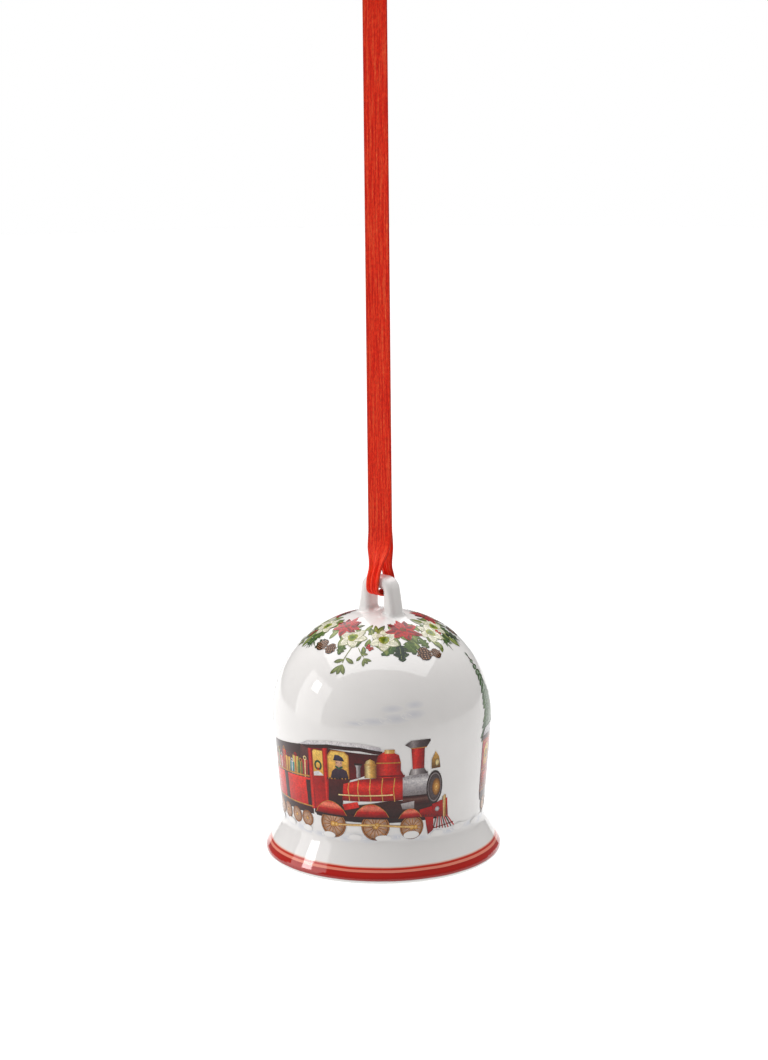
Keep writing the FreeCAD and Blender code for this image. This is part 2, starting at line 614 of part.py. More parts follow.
def ribbon_band(name, points):
    """Flat ribbon along a route of (depth, height) points, at its full width."""
    body = keep(new_body(name), name)
    sketch = new_sketch(body, f"{name}_side", "YZ_Plane")
    half = value("Sizes.ribbon_thickness / 2")
    route = bent_route(points)
    left = [beside(piece, half) for piece in route]
    right = [beside(piece, -half) for piece in route]
    tip = line((left[-1].EndPoint.x, left[-1].EndPoint.y), (right[-1].EndPoint.x, right[-1].EndPoint.y))
    tail = line((right[0].StartPoint.x, right[0].StartPoint.y), (left[0].StartPoint.x, left[0].StartPoint.y))
    curves = left + [tip] + right[::-1] + [tail]
    outline(sketch, curves)
    for index in range(len(curves)):
        hold(sketch, "Block", index)
    pad(body, sketch, "Sizes.ribbon_width")
    settle(body, turned=True)
    length = sum(math.dist(*piece[1:]) if piece[0] == "run" else abs(piece[2] * piece[4]) for piece in route)
    return body, length


def strand_route(side):
    """Route of the front strand, with side -1, or of the back one, from the bar up to the knot."""
    axis = value(SWING_AXIS)
    low = side * value(f"{SLING_RADIUS} + Sizes.ribbon_thickness / 2")
    high = side * value("(Sizes.strand_gap + Sizes.ribbon_thickness) / 2")
    return [
        (low, axis + value("Sizes.gathered_rise")),
        (low, axis + value("Sizes.strand_lead")),
        (high, axis + value("Sizes.strand_join")),
        (high, value(KNOT_FOOT)),
    ]


def tail_route(side):
    """Route of a cut end of the ribbon, out of the knot's side and up."""
    start = value("Sizes.knot_depth / 2")
    middle = value(f"{KNOT_FOOT} + Sizes.knot_height / 2")
    return [(side * (start + out), middle + up) for out, up in TAIL_STEPS]


def build_strands():
    """The two lengths of ribbon that rise from the bar, and meet on the way to the knot."""
    section = value("Sizes.ribbon_width * Sizes.ribbon_thickness")
    routes = (
        ("ribbon_front", strand_route(-1)), ("ribbon_back", strand_route(1)),
        ("ribbon_tail_front", tail_route(-1)), ("ribbon_tail_back", tail_route(1)),
    )
    for name, points in routes:
        body, length = ribbon_band(name, points)
        doc.recompute()
        print(f"{name}: {length:.1f} mm long, {body.Shape.Volume / section:.1f} mm from its volume")


def build_sling():
    """The gathered turn of ribbon that goes through the hole, under the bar."""
    body = keep(new_body("ribbon_sling"), "ribbon_sling")
    sketch = new_sketch(body, "sling_side", "YZ_Plane")
    centre = (0, value(SWING_AXIS))
    inner = value(SLING_RADIUS)
    outer = value(f"{SLING_RADIUS} + Sizes.ribbon_thickness")
    high = value(f"{SWING_AXIS} + Sizes.gathered_rise")
    curves = [
        arc(centre, inner, 180, 360),
        line(around(centre, inner, 0), (inner, high)),
        line((inner, high), (outer, high)),
        line((outer, high), around(centre, outer, 0)),
        arc(centre, outer, 180, 360),
        line(around(centre, outer, 180), (-outer, high)),
        line((-outer, high), (-inner, high)),
        line((-inner, high), around(centre, inner, 180)),
    ]
    outline(sketch, curves)
    hold(sketch, "PointOnObject", 0, 3, -2)
    hold(sketch, "Coincident", 0, 3, 4, 3)
    for index in (1, 3, 5, 7):
        hold(sketch, "Vertical", index)
    for index in (2, 6):
        hold(sketch, "Horizontal", index)
        drive(sketch, "DistanceY", -1, 1, index, 1, formula=f"{SWING_AXIS} + Sizes.gathered_rise")
    for index in (0, 4):
        hold(sketch, "Horizontal", index, 1, index, 3)
        hold(sketch, "Horizontal", index, 2, index, 3)
    drive(sketch, "Radius", 0, formula=SLING_RADIUS)
    drive(sketch, "Radius", 4, formula=f"{SLING_RADIUS} + Sizes.ribbon_thickness")
    drive(sketch, "DistanceY", -1, 1, 0, 3, formula=SWING_AXIS)
    pad(body, sketch, "Sizes.gathered_width")
    settle(body, turned=True)


def build_knot():
    """Overhand knot in the doubled ribbon, above the strands and below the hanging eye."""
    body = keep(new_body("ribbon_knot"), "ribbon_knot")
    sketch = new_sketch(body, "knot_plan", "XY_Plane", KNOT_FOOT)
    half_x, half_y = value(f"{KNOT_WIDTH} / 2"), value("Sizes.knot_depth / 2")
    corners = [(-half_x, -half_y), (half_x, -half_y), (half_x, half_y), (-half_x, half_y)]
    outline(sketch, [line(start, end) for start, end in zip(corners, corners[1:] + corners[:1])])
    for index, kind in enumerate(("Horizontal", "Vertical", "Horizontal", "Vertical")):
        hold(sketch, kind, index)
    hold(sketch, "Symmetric", 0, 1, 2, 1, -1, 1)
    drive(sketch, "DistanceX", 0, 1, 0, 2, formula=KNOT_WIDTH)
    drive(sketch, "DistanceY", 1, 1, 1, 2, formula="Sizes.knot_depth")
    block = pad(body, sketch, "Sizes.knot_height", both_ways=False)
    doc.recompute()
    round_edges(body, block, edge_names(block.Shape, lambda edge: True), "Sizes.knot_round")
    settle(body, turned=True)


def eye_side(radius, outward):
    """One face of the hanging eye: a leg up, the turn over the hook, and a leg down."""
    taper = value("Sizes.hook_taper")
    centre = (0, value(HOOK_CENTRE))
    lean = math.radians(taper)
    leg = (value("Sizes.hook_rise") - radius * math.sin(lean)) / math.cos(lean)
    right, left = around(centre, radius, -taper), around(centre, radius, 180 + taper)
    foot = right[0] - leg * math.sin(lean)
    low = value(KNOT_TOP)
    curves = [
        line((-foot, low), left),
        arc(centre, radius, -taper, 180 + taper),
        line(right, (foot, low)),
    ]
    return curves if outward else curves[::-1]


def build_eye():
    """Doubled ribbon above the knot, bent round the hook that carries the ornament."""
    body = keep(new_body("ribbon_eye"), "ribbon_eye")
    sketch = new_sketch(body, "eye_side", "YZ_Plane")
    inner = value("Sizes.hook_radius")
    outer = value("Sizes.hook_radius + 2 * Sizes.ribbon_thickness")
    outside, inside = eye_side(outer, True), eye_side(inner, False)
    low = value(KNOT_TOP)
    right_foot = line((outside[2].EndPoint.x, low), (inside[0].EndPoint.x, low))
    left_foot = line((inside[2].StartPoint.x, low), (outside[0].StartPoint.x, low))
    curves = outside + [right_foot] + inside + [left_foot]
    outline(sketch, curves)
    for index in range(len(curves)):
        hold(sketch, "Block", index)
    pad(body, sketch, "Sizes.ribbon_width")
    settle(body, turned=True)


build_bell_shell()
build_hanger_loop()
build_cement(build_staple())
build_jump_ring()
build_clapper_stem()
build_clapper_ball()
build_ferrule()
build_sling()
build_strands()
build_knot()
build_eye()
doc.recompute()

for thing in doc.Objects:
    if "Invalid" in thing.State or "Error" in thing.State:
        raise RuntimeError(f"{thing.Name} failed: {thing.State}")

os.makedirs("parts", exist_ok=True)
for part in PARTS:
    if part.Shape.isNull() or not part.Shape.isValid() or not part.Shape.Solids:
        raise RuntimeError(f"{part.Label} has no sound solid")
    part.Shape.exportStep(f"parts/{part.Label}.step")
    box = part.Shape.BoundBox
    print(f"{part.Label}: {part.Shape.Volume:.1f} mm3, z {box.ZMin:.2f} to {box.ZMax:.2f}")
for name, formula in (("hang", HANG), ("swing axis", SWING_AXIS), ("staple axis", STAPLE_AXIS),
                      ("ring axis", RING_AXIS), ("crown top", CROWN_TOP), ("foot ring", LIP_RADIUS)):
    print(f"{name}: {value(formula):.4f}")
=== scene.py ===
# %% [markdown]
# # A porcelain bell on a satin ribbon
# A small bell of glazed porcelain hangs from a red ribbon. Round its crown runs a printed
# garland, round its waist a printed toy train, and two red bands finish the rim.
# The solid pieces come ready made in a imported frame. This lesson dresses them: it sets
# the camera and the light, glazes the porcelain, prints the picture and ties the ribbon.
# Loading the frame first means that every later piece can be placed by measuring it.

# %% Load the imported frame
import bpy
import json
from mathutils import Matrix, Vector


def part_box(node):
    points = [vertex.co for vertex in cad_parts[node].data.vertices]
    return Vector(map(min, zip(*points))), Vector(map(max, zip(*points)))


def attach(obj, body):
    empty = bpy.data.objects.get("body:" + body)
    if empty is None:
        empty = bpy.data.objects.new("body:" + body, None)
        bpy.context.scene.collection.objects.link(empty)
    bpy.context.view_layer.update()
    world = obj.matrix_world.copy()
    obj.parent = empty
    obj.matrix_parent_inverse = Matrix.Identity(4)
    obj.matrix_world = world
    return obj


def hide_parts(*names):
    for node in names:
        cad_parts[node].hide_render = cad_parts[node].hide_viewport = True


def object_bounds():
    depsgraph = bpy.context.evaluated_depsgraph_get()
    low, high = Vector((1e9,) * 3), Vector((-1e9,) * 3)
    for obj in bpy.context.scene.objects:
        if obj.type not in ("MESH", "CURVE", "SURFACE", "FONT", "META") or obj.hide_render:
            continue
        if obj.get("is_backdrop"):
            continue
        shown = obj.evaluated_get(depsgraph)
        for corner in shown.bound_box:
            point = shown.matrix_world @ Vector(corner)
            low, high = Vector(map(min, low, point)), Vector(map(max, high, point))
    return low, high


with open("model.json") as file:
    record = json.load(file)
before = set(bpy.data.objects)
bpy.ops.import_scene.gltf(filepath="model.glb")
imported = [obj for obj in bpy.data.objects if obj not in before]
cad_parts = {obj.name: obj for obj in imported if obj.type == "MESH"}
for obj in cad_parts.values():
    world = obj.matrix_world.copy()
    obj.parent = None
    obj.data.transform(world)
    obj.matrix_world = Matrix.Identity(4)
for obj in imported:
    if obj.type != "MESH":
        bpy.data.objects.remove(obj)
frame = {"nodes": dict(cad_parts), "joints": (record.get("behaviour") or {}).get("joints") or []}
nodes = frame["nodes"]
cad_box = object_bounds()
print("pieces in the frame:", ", ".join(sorted(nodes)))

# %% Tools and measures
import bisect
import json
import math
import random

import bmesh
import bpy
from mathutils import Euler, Quaternion, Vector
from mathutils.bvhtree import BVHTree

MM = 0.001
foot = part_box("bell_shell")[0].z
swing = next(joint for joint in frame["joints"] if joint["name"] == "bell_swing")
bar = Vector(swing["pos_m"])
print("foot of the bell at", round(foot / MM, 2), "mm, bar of the loop at", round(bar.z / MM, 2))


def put(name, data):
    """Makes an object from its data and puts it in the scene."""
    made = bpy.data.objects.new(name, data)
    bpy.context.scene.collection.objects.link(made)
    return made

# %% [markdown]
# ## The camera
# Something this small is best looked at from well back with a long lens, so
# that the bell's sides stay upright. A camera could be steered by a Track To constraint,
# but one written rotation is simpler, and it also holds the slight tilt of the camera.

# %% Camera
look_at = Vector((0.00095, 0, foot + 0.08365))
camera_distance = 0.85
look_down = math.radians(13.5)
tilt = math.radians(-0.58)
camera_data = bpy.data.cameras.new("bell_camera")
camera_data.sensor_width = 36
camera_data.lens = 114.87
camera_data.clip_end = 50
camera = put("bell_camera", camera_data)
camera.location = look_at + camera_distance * Vector((0, -math.cos(look_down), math.sin(look_down)))
upright = Euler((math.pi / 2 - look_down, 0, 0)).to_quaternion()
camera.rotation_mode = "QUATERNION"
camera.rotation_quaternion = upright @ Quaternion((0, 0, 1), tilt)
bpy.context.scene.camera = camera
print("camera at", [round(c, 3) for c in camera.location])

# %% [markdown]
# ## Materials in general
# Every finish here is a Principled shader with a few nodes in front of it. The three
# small helpers below save writing the same lines for each: one makes the material, one
# adds a node, and one turns the colour of a paint chip into Blender's own linear colour.

# %% Helpers for finishes
def ink(red, green, blue):
    """A paint colour from 0 to 255 a channel, as Blender's linear colour."""
    def linear(value):
        value /= 255
        return value / 12.92 if value <= 0.04045 else ((value + 0.055) / 1.055) ** 2.4
    return (linear(red), linear(green), linear(blue), 1.0)


def new_finish(name, **sockets):
    """A material whose shader sockets are set from the names given, such as Coat_Weight=1."""
    finish = bpy.data.materials.new(name)
    finish.use_nodes = True
    shader = finish.node_tree.nodes["Principled BSDF"]
    for socket, value in sockets.items():
        shader.inputs[socket.replace("_", " ")].default_value = value
    return finish, finish.node_tree, shader


def add(tree, kind, inputs=None, **settings):
    """One node, with its settings and the inputs that are plain numbers or links."""
    made = tree.nodes.new("ShaderNode" + kind)
    for name, value in settings.items():
        setattr(made, name, value)
    for name, value in (inputs or {}).items():
        if isinstance(value, bpy.types.NodeSocket):
            tree.links.new(value, made.inputs[name])
        else:
            made.inputs[name].default_value = value
    return made


def stops(ramp, *marks):
    """Sets a colour ramp's marks, each a place and a colour."""
    elements = ramp.color_ramp.elements
    while len(elements) > 1:
        elements.remove(elements[-1])
    elements[0].position, elements[0].color = marks[0]
    for place, colour in marks[1:]:
        elements.new(place).color = colour
    return ramp


def ramp(tree, factor, *marks):
    """A colour that changes with a factor from 0 to 1."""
    return stops(add(tree, "ValToRGB", {"Fac": factor}), *marks).outputs["Color"]


def noise(tree, vector, scale, detail, **more):
    """Cloudy noise, as a number from 0 to 1."""
    inputs = {"Vector": vector, "Scale": scale, "Detail": detail, **more}
    return add(tree, "TexNoise", inputs).outputs["Fac"]


def times(tree, one, other):
    """Two colours multiplied."""
    return add(tree, "MixRGB", {"Fac": 1.0, "Color1": one, "Color2": other},
               blend_type="MULTIPLY").outputs["Color"]


def maths(tree, operation, *values):
    """One sum, on plain numbers or links."""
    return add(tree, "Math", dict(enumerate(values)), operation=operation).outputs[0]


def bump(tree, shader, height, strength, distance):
    """Joins a height to the shader as a fine relief."""
    relief = add(tree, "Bump", {"Height": height, "Strength": strength, "Distance": distance})
    tree.links.new(relief.outputs["Normal"], shader.inputs["Normal"])

# %% [markdown]
# ## Floor and light
# The bell hangs over a plain pale floor that is bright enough to burn out to white. The
# light is a soft studio light: a large panel overhead, a tall window on the left that
# makes the left side glow, and one small square lamp whose sharp reflection tells the
# eye that the glaze is wet and smooth. The room in front is dimmer than the floor, and
# its edge is what one sees mirrored as a soft curve in the bell's shoulder.

# %% Floor
FLOOR_RADIUS, FLOOR_BELOW = 1.7, 0.09
floor_mesh = bpy.data.meshes.new("studio_floor")
floor_form = bmesh.new()
bmesh.ops.create_circle(floor_form, cap_ends=True, segments=96, radius=FLOOR_RADIUS)
floor_form.to_mesh(floor_mesh)
floor_form.free()
floor = put("studio_floor", floor_mesh)
floor.location.z = foot - FLOOR_BELOW
paper, tree, shader = new_finish("pale_paper", Roughness=0.9)
fibre = noise(tree, add(tree, "TexCoord").outputs["Object"], 3.0, 3.0)
tone = ramp(tree, fibre, (0.0, (0.90, 0.90, 0.90, 1)), (1.0, (0.94, 0.94, 0.94, 1)))
tree.links.new(tone, shader.inputs["Base Color"])
floor_mesh.materials.append(paper)
floor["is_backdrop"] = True

# %% Lamps and the room
def panel_light(name, place, aim, width, height, watts, colour=(1, 1, 1)):
    lamp = bpy.data.lights.new(name, "AREA")
    lamp.shape = "RECTANGLE"
    lamp.size, lamp.size_y = width, height
    lamp.energy, lamp.color = watts, colour
    holder = put(name, lamp)
    holder.location = place
    holder.rotation_euler = (Vector(aim) - Vector(place)).to_track_quat("-Z", "Y").to_euler()


middle = Vector((0, 0, foot + 0.04))
panel_light("overhead_panel", (0, 0.9, 1.15), (0, 0.9, foot), 2.6, 3.0, 50)
panel_light("left_window", (-1.5, -0.15, 0.18), middle, 1.1, 1.1, 6.0, (1.0, 0.985, 0.97))
panel_light("square_lamp", middle + 1.5 * Vector((-0.899, -0.083, 0.429)), middle, 0.26, 0.24, 1.6)
room = bpy.data.worlds.new("studio_room")
bpy.context.scene.world = room
room.use_nodes = True
tree = room.node_tree
sky = tree.nodes["Background"]
sky.inputs["Strength"].default_value = 0.22
seen = tree.nodes.new("ShaderNodeBackground")
seen.inputs["Color"].default_value = (1, 1, 1, 1)
path = tree.nodes.new("ShaderNodeLightPath")
choice = tree.nodes.new("ShaderNodeMixShader")
sky.inputs["Color"].default_value = (1.0, 0.985, 0.97, 1)
tree.links.new(path.outputs["Is Camera Ray"], choice.inputs["Fac"])
tree.links.new(sky.outputs[0], choice.inputs[1])
tree.links.new(seen.outputs[0], choice.inputs[2])
tree.links.new(choice.outputs[0], tree.nodes["World Output"].inputs["Surface"])
bpy.context.scene.view_settings.view_transform = "Standard"

# %% [markdown]
# ## The ribbon's path
# The ribbon is one flat length of satin. It runs up in front of the loop's bar and up
# behind it, and both halves meet in a knot. Each half is a strip that follows its own
# smooth line. The line is drawn as a NURBS curve with a few control points, because that
# gives a curve without kinks, and its points are then read back to build the strip on.
# The loop's bar stands at an angle, so just above it the ribbon twists to face front.

# %% The two lines
along_bar = Vector(swing["axis"]).normalized()
to_front = Vector((along_bar.y, -along_bar.x, 0))
facing = -math.atan(along_bar.y / along_bar.x)
ribbon_width = 6.0 * MM
ROUTE = ((0.0, -169.73), (2.73, -169.73), (2.73, -166.3), (1.15, -162.6), (0.95, -150.0),
         (0.8, -112.0), (0.36, -80.0), (0.35, -40.0), (0.35, -18.5), (0.35, -15.6))


def turned(vector, height):
    """The ribbon twists a little above the bar, so that higher up its flat side faces front."""
    t = min(max((height - bar.z) / MM / 11 - 0.3, 0.0), 1.0)
    return Quaternion((0, 0, 1), facing * t * t * (3 - 2 * t)) @ vector


def ribbon_line(name, side):
    """Points of the smooth line of one half, from under the bar up into the knot."""
    curve = bpy.data.curves.new(name, "CURVE")
    curve.dimensions = "3D"
    curve.resolution_u = 40
    spline = curve.splines.new("NURBS")
    spline.points.add(len(ROUTE) - 1)
    for point, (depth, height) in zip(spline.points, ROUTE):
        point.co = (*(to_front * side * depth * MM + Vector((0, 0, height * MM))), 1)
    spline.order_u = 3
    spline.use_endpoint_u = True
    holder = put(name, curve)
    mesh = bpy.data.meshes.new_from_object(holder)
    line = [turned(v.co, v.co.z) for v in mesh.vertices]
    bpy.data.objects.remove(holder)
    bpy.data.meshes.remove(mesh)
    return line


def length_of(line):
    return sum((b - a).length for a, b in zip(line, line[1:]))


front_line = ribbon_line("front_line", 1)
back_line = ribbon_line("back_line", -1)
print("each half of the ribbon:", round(length_of(front_line) / MM, 1), "mm,",
      len(front_line), "points")

# %% [markdown]
# ## The ribbon's satin
# Satin shows long fine streaks along its length where the warp floats over the weft, and
# tiny sparks of light where threads cross. Both are painted into the colour here: the
# streaks are partly the weave's own tone and partly painted sheen, and the sparks are
# painted glints. A noise stretched along the strip gives the streaks, a finer one gives the
# sparks, and both read the strip's own UV map, which is laid out in real millimetres, so
# they keep their size everywhere.

# %% Satin
satin, tree, shader = new_finish("red_satin", Roughness=0.5, Sheen_Weight=0.12,
                                 Sheen_Roughness=0.35, Sheen_Tint=(1.0, 0.3, 0.2, 1),
                                 Specular_IOR_Level=0.22)
cloth = add(tree, "UVMap", uv_map="cloth").outputs["UV"]


def stretched(across, along):
    """The cloth's own place, squeezed so that noise on it comes out in long flecks."""
    return add(tree, "Mapping", {"Vector": cloth, "Scale": (across, along, 1.0)}).outputs["Vector"]


warp = noise(tree, stretched(3.0, 0.07), 1.0, 4.0, Roughness=0.7)
spark = noise(tree, stretched(3.6, 0.9), 1.0, 3.0, Roughness=0.75)
# Lengthwise streaks: partly the weave's own tone, partly painted sheen in their lighter orange end.
streak_and_painted_sheen = ramp(tree, warp, (0.36, ink(216, 20, 6)), (0.5, ink(250, 48, 20)),
              (0.64, ink(255, 96, 54)))
# Painted glints: the finer noise brightens the colour in small whitish specks where light would
# catch.
painted_glint = ramp(tree, spark, (0.38, (0.86, 0.76, 0.76, 1)), (0.54, (1.08, 1, 1, 1)),
             (0.66, (1.3, 2.2, 2.2, 1)))
across = add(tree, "SeparateXYZ", {"Vector": cloth}).outputs["X"]
half_width = ribbon_width / MM / 2
selvedge = ramp(tree, maths(tree, "DIVIDE", maths(tree, "ABSOLUTE", across), half_width),
                (0.0, (1, 1, 1, 1)), (0.84, (1, 1, 1, 1)), (0.93, (0.72, 0.62, 0.62, 1)))
edged = times(tree, times(tree, streak_and_painted_sheen, painted_glint), selvedge)
tree.links.new(edged, shader.inputs["Base Color"])
weft = add(tree, "TexWave", {"Vector": cloth, "Scale": 1.1, "Distortion": 0.6, "Detail": 1.0},
           bands_direction="Y").outputs["Fac"]
bump(tree, shader, maths(tree, "ADD", warp, maths(tree, "MULTIPLY", weft, 0.25)), 0.4, 0.00012)
print("satin nodes:", len(tree.nodes))

# %% [markdown]
# ## The two halves of the ribbon
# At the loop the satin has to pass between the loop's legs, which stand closer than the
# ribbon is wide, so it gathers into small pleats. Higher up it lies flat. One function
# gives how far it is gathered at each point of the line, and the strip is then just
# rows of points laid across the line, thickened with a Solidify modifier.

# %% The strips
STRIP_COLUMNS, SATIN_THICKNESS = 24, 0.3
PLEATS_TURN, PLEAT_DEPTH, GATHERED_SHARE = 2.618, 0.34, 0.345


def gathered(rise):
    """How far the ribbon is gathered, from 0 flat to 1 full, at a height in mm over the bar."""
    t = min(max((rise - 2.2) / 7.0, 0.0), 1.0)
    return 1 - t * t * (3 - 2 * t)


def satin_strip(name, rows, uvs, thickness):
    """A strip of satin through rows of points, with its UV map in mm, thickened both ways."""
    wide = len(rows[0])
    faces = [(r * wide + c, r * wide + c + 1, (r + 1) * wide + c + 1, (r + 1) * wide + c)
             for r in range(len(rows) - 1) for c in range(wide - 1)]
    mesh = bpy.data.meshes.new(name)
    mesh.from_pydata([p for row in rows for p in row], [], faces)
    layer = mesh.uv_layers.new(name="cloth")
    for loop in mesh.loops:
        layer.data[loop.index].uv = uvs[loop.vertex_index]
    mesh.shade_smooth()
    mesh.materials.append(satin)
    strip = put(name, mesh)
    body = strip.modifiers.new("satin_thickness", "SOLIDIFY")
    body.thickness, body.offset = thickness * MM, 0
    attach(strip, "ribbon")
    return strip


def ribbon_strip(name, line):
    """One half of the ribbon along its line, pleated where it is gathered."""
    rows, uvs, run = [], [], 0.0
    for i, here in enumerate(line):
        before, after = line[max(i - 1, 0)], line[min(i + 1, len(line) - 1)]
        heading = (after - before).normalized()
        sideward = turned(along_bar, here.z)
        outward = sideward.cross(heading).normalized()
        if outward.dot(here - Vector((bar.x, bar.y, max(here.z, bar.z)))) < 0:
            outward.negate()
        if i:
            run += (here - before).length
        closing = gathered((here.z - bar.z) / MM)
        row = []
        for c in range(STRIP_COLUMNS + 1):
            across_mm = (c / STRIP_COLUMNS - 0.5) * 6.0
            pleats = math.cos(across_mm * PLEATS_TURN + 0.25 * math.sin(run * 300))
            sideways = across_mm * (1 - GATHERED_SHARE * closing)
            outwards = PLEAT_DEPTH * closing * (1 + pleats)
            row.append(here + sideward * sideways * MM + outward * outwards * MM)
            uvs.append((across_mm, run / MM))
        rows.append(row)
    return satin_strip(name, rows, uvs, SATIN_THICKNESS)


front_half = ribbon_strip("ribbon_front_half", front_line)
back_half = ribbon_strip("ribbon_back_half", back_line)
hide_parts("ribbon_front", "ribbon_sling")
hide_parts("ribbon_back")
print("ribbon strips:", len(front_half.data.vertices), "points each")

# %% [markdown]
# ## Knot, hanging eye and tails
# At the top the two halves are tied in one overhand knot. The knot is
# a fat little roll of satin turns, the eye above it is a small loop of doubled ribbon,
# and two short tails stand out below, cut on the slant so that they don't fray. Each is
# swept from a flat cross-section along a short curved line.

# %% A band swept along a line
knot_across, knot_front = turned(along_bar, 0.0), turned(to_front, 0.0)


def frame_point(sideways, depth, height):
    """A point given in mm along the knot, towards the front, and as a height in the frame."""
    return knot_across * sideways * MM + knot_front * depth * MM + Vector((0, 0, height * MM))


def swept_band(name, line, width, thickness, across=None, slant=0.0, pinch=None):
    """A flat band of satin along points in the frame; pinch narrows it at its ends."""
    columns, rows, uvs, run = 10, [], [], 0.0
    for i, here in enumerate(line):
        before, after = line[max(i - 1, 0)], line[min(i + 1, len(line) - 1)]
        heading = (after - before).normalized()
        run += (here - before).length if i else 0
        share = i / (len(line) - 1)
        side = across or knot_across
        side = (side - heading * side.dot(heading)).normalized()
        outward = side.cross(heading).normalized()
        here_width = width * (pinch(share) if pinch else 1)
        row = []
        for c in range(columns + 1):
            s = c / columns - 0.5
            cut = heading * slant * s * share * MM
            crown = outward * math.cos(s * math.pi) * 0.25 * MM * (1 - here_width / width)
            row.append(here + side * s * here_width * MM + cut + crown)
            uvs.append((s * width, run / MM))
        rows.append(row)
    return satin_strip(name, rows, uvs, thickness)


def smooth_line(corners, steps=28):
    """A smooth run through a few given points, by Catmull and Rom's rule."""
    ends = [corners[0] * 2 - corners[1], *corners, corners[-1] * 2 - corners[-2]]
    line = []
    for a, b, c, d in zip(ends, ends[1:], ends[2:], ends[3:]):
        for k in range(steps):
            t = k / steps
            line.append(0.5 * (2 * b + (c - a) * t + (2 * a - 5 * b + 4 * c - d) * t * t
                               + (3 * b - a - 3 * c + d) * t ** 3))
    return line + [corners[-1]]

# %% Eye and tails
knot_low, knot_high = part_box("ribbon_knot")
eye_centre = -3.5
eye_line = [frame_point(0, 1.5, knot_high.z / MM - 2.0), frame_point(0, 1.9, -11.6),
            frame_point(0, 3.2, -8.2)]
eye_line += [frame_point(0, 3.9 * math.cos(a), eye_centre + 3.9 * math.sin(a))
             for a in [math.radians(d) for d in range(-20, 201, 20)]]
eye_line += [frame_point(0, -3.2, -8.2), frame_point(0, -1.9, -11.6),
             frame_point(0, -1.5, knot_high.z / MM - 2.0)]
eye = swept_band("ribbon_hanging_eye", smooth_line(eye_line, 6), 5.8, 0.6,
                 pinch=lambda s: 0.72 + 0.28 * math.sin(math.pi * s) ** 0.6)
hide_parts("ribbon_eye")
for name, side in (("ribbon_tail_front", 1), ("ribbon_tail_back", -1)):
    line = [frame_point(side * 0.3, side * 1.6, -15.6), frame_point(side * 0.5, side * 4.4, -15.7),
            frame_point(side * 0.7, side * 7.0, -14.3), frame_point(side * 0.6, side * 8.9, -10.9)]
    tail = swept_band(name + "_cut", smooth_line(line, 10), 5.8, 0.3, slant=1.6 * side,
                      pinch=lambda s: 0.7 + 0.3 * min(1.0, s * 2.2))
    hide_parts(name)

# %% [markdown]
# ## The knot
# An overhand knot in flat ribbon shows three things: a band wrapped over the front on
# the slant, the bulges of the turns beneath it, and tucks where they meet. It could be
# tied as a real curve, but at this size a stack of swept, crowned turns reads the same.

# %% Knot
def knot_turn(name, height, slope, swell, width):
    """One turn of satin round the knot's middle, leaning by slope."""
    line = []
    for k in range(33):
        a = math.tau * k / 32 - math.pi / 2
        x = swell[0] * math.cos(a)
        y = swell[1] * math.sin(a)
        line.append(frame_point(x, y, height + slope * math.cos(a) + 0.25 * math.sin(2 * a)))
    return swept_band(name, line, width, 0.5, across=Vector((0, 0, 1)),
                      pinch=lambda s: 0.86 + 0.14 * math.cos(4 * math.pi * s))


knot_middle = (knot_low.z + knot_high.z) / 2 / MM
turns = [knot_turn("knot_turn_lower", knot_middle - 1.2, 0.5, (4.1, 2.3), 3.0),
         knot_turn("knot_turn_upper", knot_middle + 1.2, -0.4, (4.0, 2.2), 3.0),
         knot_turn("knot_turn_over", knot_middle, 1.0, (4.5, 2.5), 2.8)]
core_form = bmesh.new()
bmesh.ops.create_icosphere(core_form, subdivisions=4, radius=1.0)
for v in core_form.verts:
    crease = 1 + 0.05 * math.sin(5 * math.atan2(v.co.y, v.co.x) + 4 * v.co.z)
    v.co = frame_point(v.co.x * 3.9 * crease, v.co.y * 2.1 * crease, knot_middle + v.co.z * 2.8)
core_mesh = bpy.data.meshes.new("knot_core")
core_layer = core_form.loops.layers.uv.new("cloth")
for face in core_form.faces:
    for loop in face.loops:
        flat = loop.vert.co
        loop[core_layer].uv = (flat.dot(knot_across) / MM, flat.z / MM)
core_form.to_mesh(core_mesh)
core_form.free()
core_mesh.shade_smooth()
core_mesh.materials.append(satin)
knot_core = put("knot_core", core_mesh)
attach(knot_core, "ribbon")
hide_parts("ribbon_knot")
print("knot:", 1 + len(turns), "pieces between", round(knot_low.z / MM, 1), "and",
      round(knot_high.z / MM, 1), "mm")

# %% [markdown]
# ## The ribbon's lengths
# A ribbon is a free length of something soft. The real length of each half is measured
# along its line, from under the loop up into the knot, and printed.

# %% Lengths of both halves
round(length_of(front_line), 4)
round(length_of(back_line), 4)
print("declared", round(length_of(front_line), 4), "m and", round(length_of(back_line), 4), "m")

# %% [markdown]
# ## Glaze and rim bands
# The porcelain is white under a clear wet glaze. Two things keep white from looking like
# plastic: a faint uneven warmth in its colour, and a very faint ripple in its surface
# that bends the reflections. The red bands are painted on by hand on a turning wheel,
# so they follow the height above the foot, and their edges waver a little. Reading the
# height from the piece's own coordinates paints them without any extra mesh.

# %% Glaze
WHITE, WARM_WHITE = (0.89, 0.868, 0.852, 1), (0.85, 0.828, 0.812, 1)


def glaze_start(name):
    """A porcelain material with its mottled white and rippled glaze; returns its parts."""
    glaze, tree, shader = new_finish(name, Roughness=0.045, Coat_Weight=0.35,
                                     Coat_Roughness=0.02, IOR=1.54)
    place = add(tree, "TexCoord").outputs["Object"]
    white = ramp(tree, noise(tree, place, 60.0, 3.0), (0.3, WARM_WHITE), (0.7, WHITE))
    bump(tree, shader, noise(tree, place, 190.0, 2.0), 0.10, 0.0001)
    return glaze, tree, shader, place, white


def plain_glaze(name):
    """The glaze for a piece without any painting."""
    finish, tree, shader, place, white = glaze_start(name)
    tree.links.new(white, shader.inputs["Base Color"])
    return finish

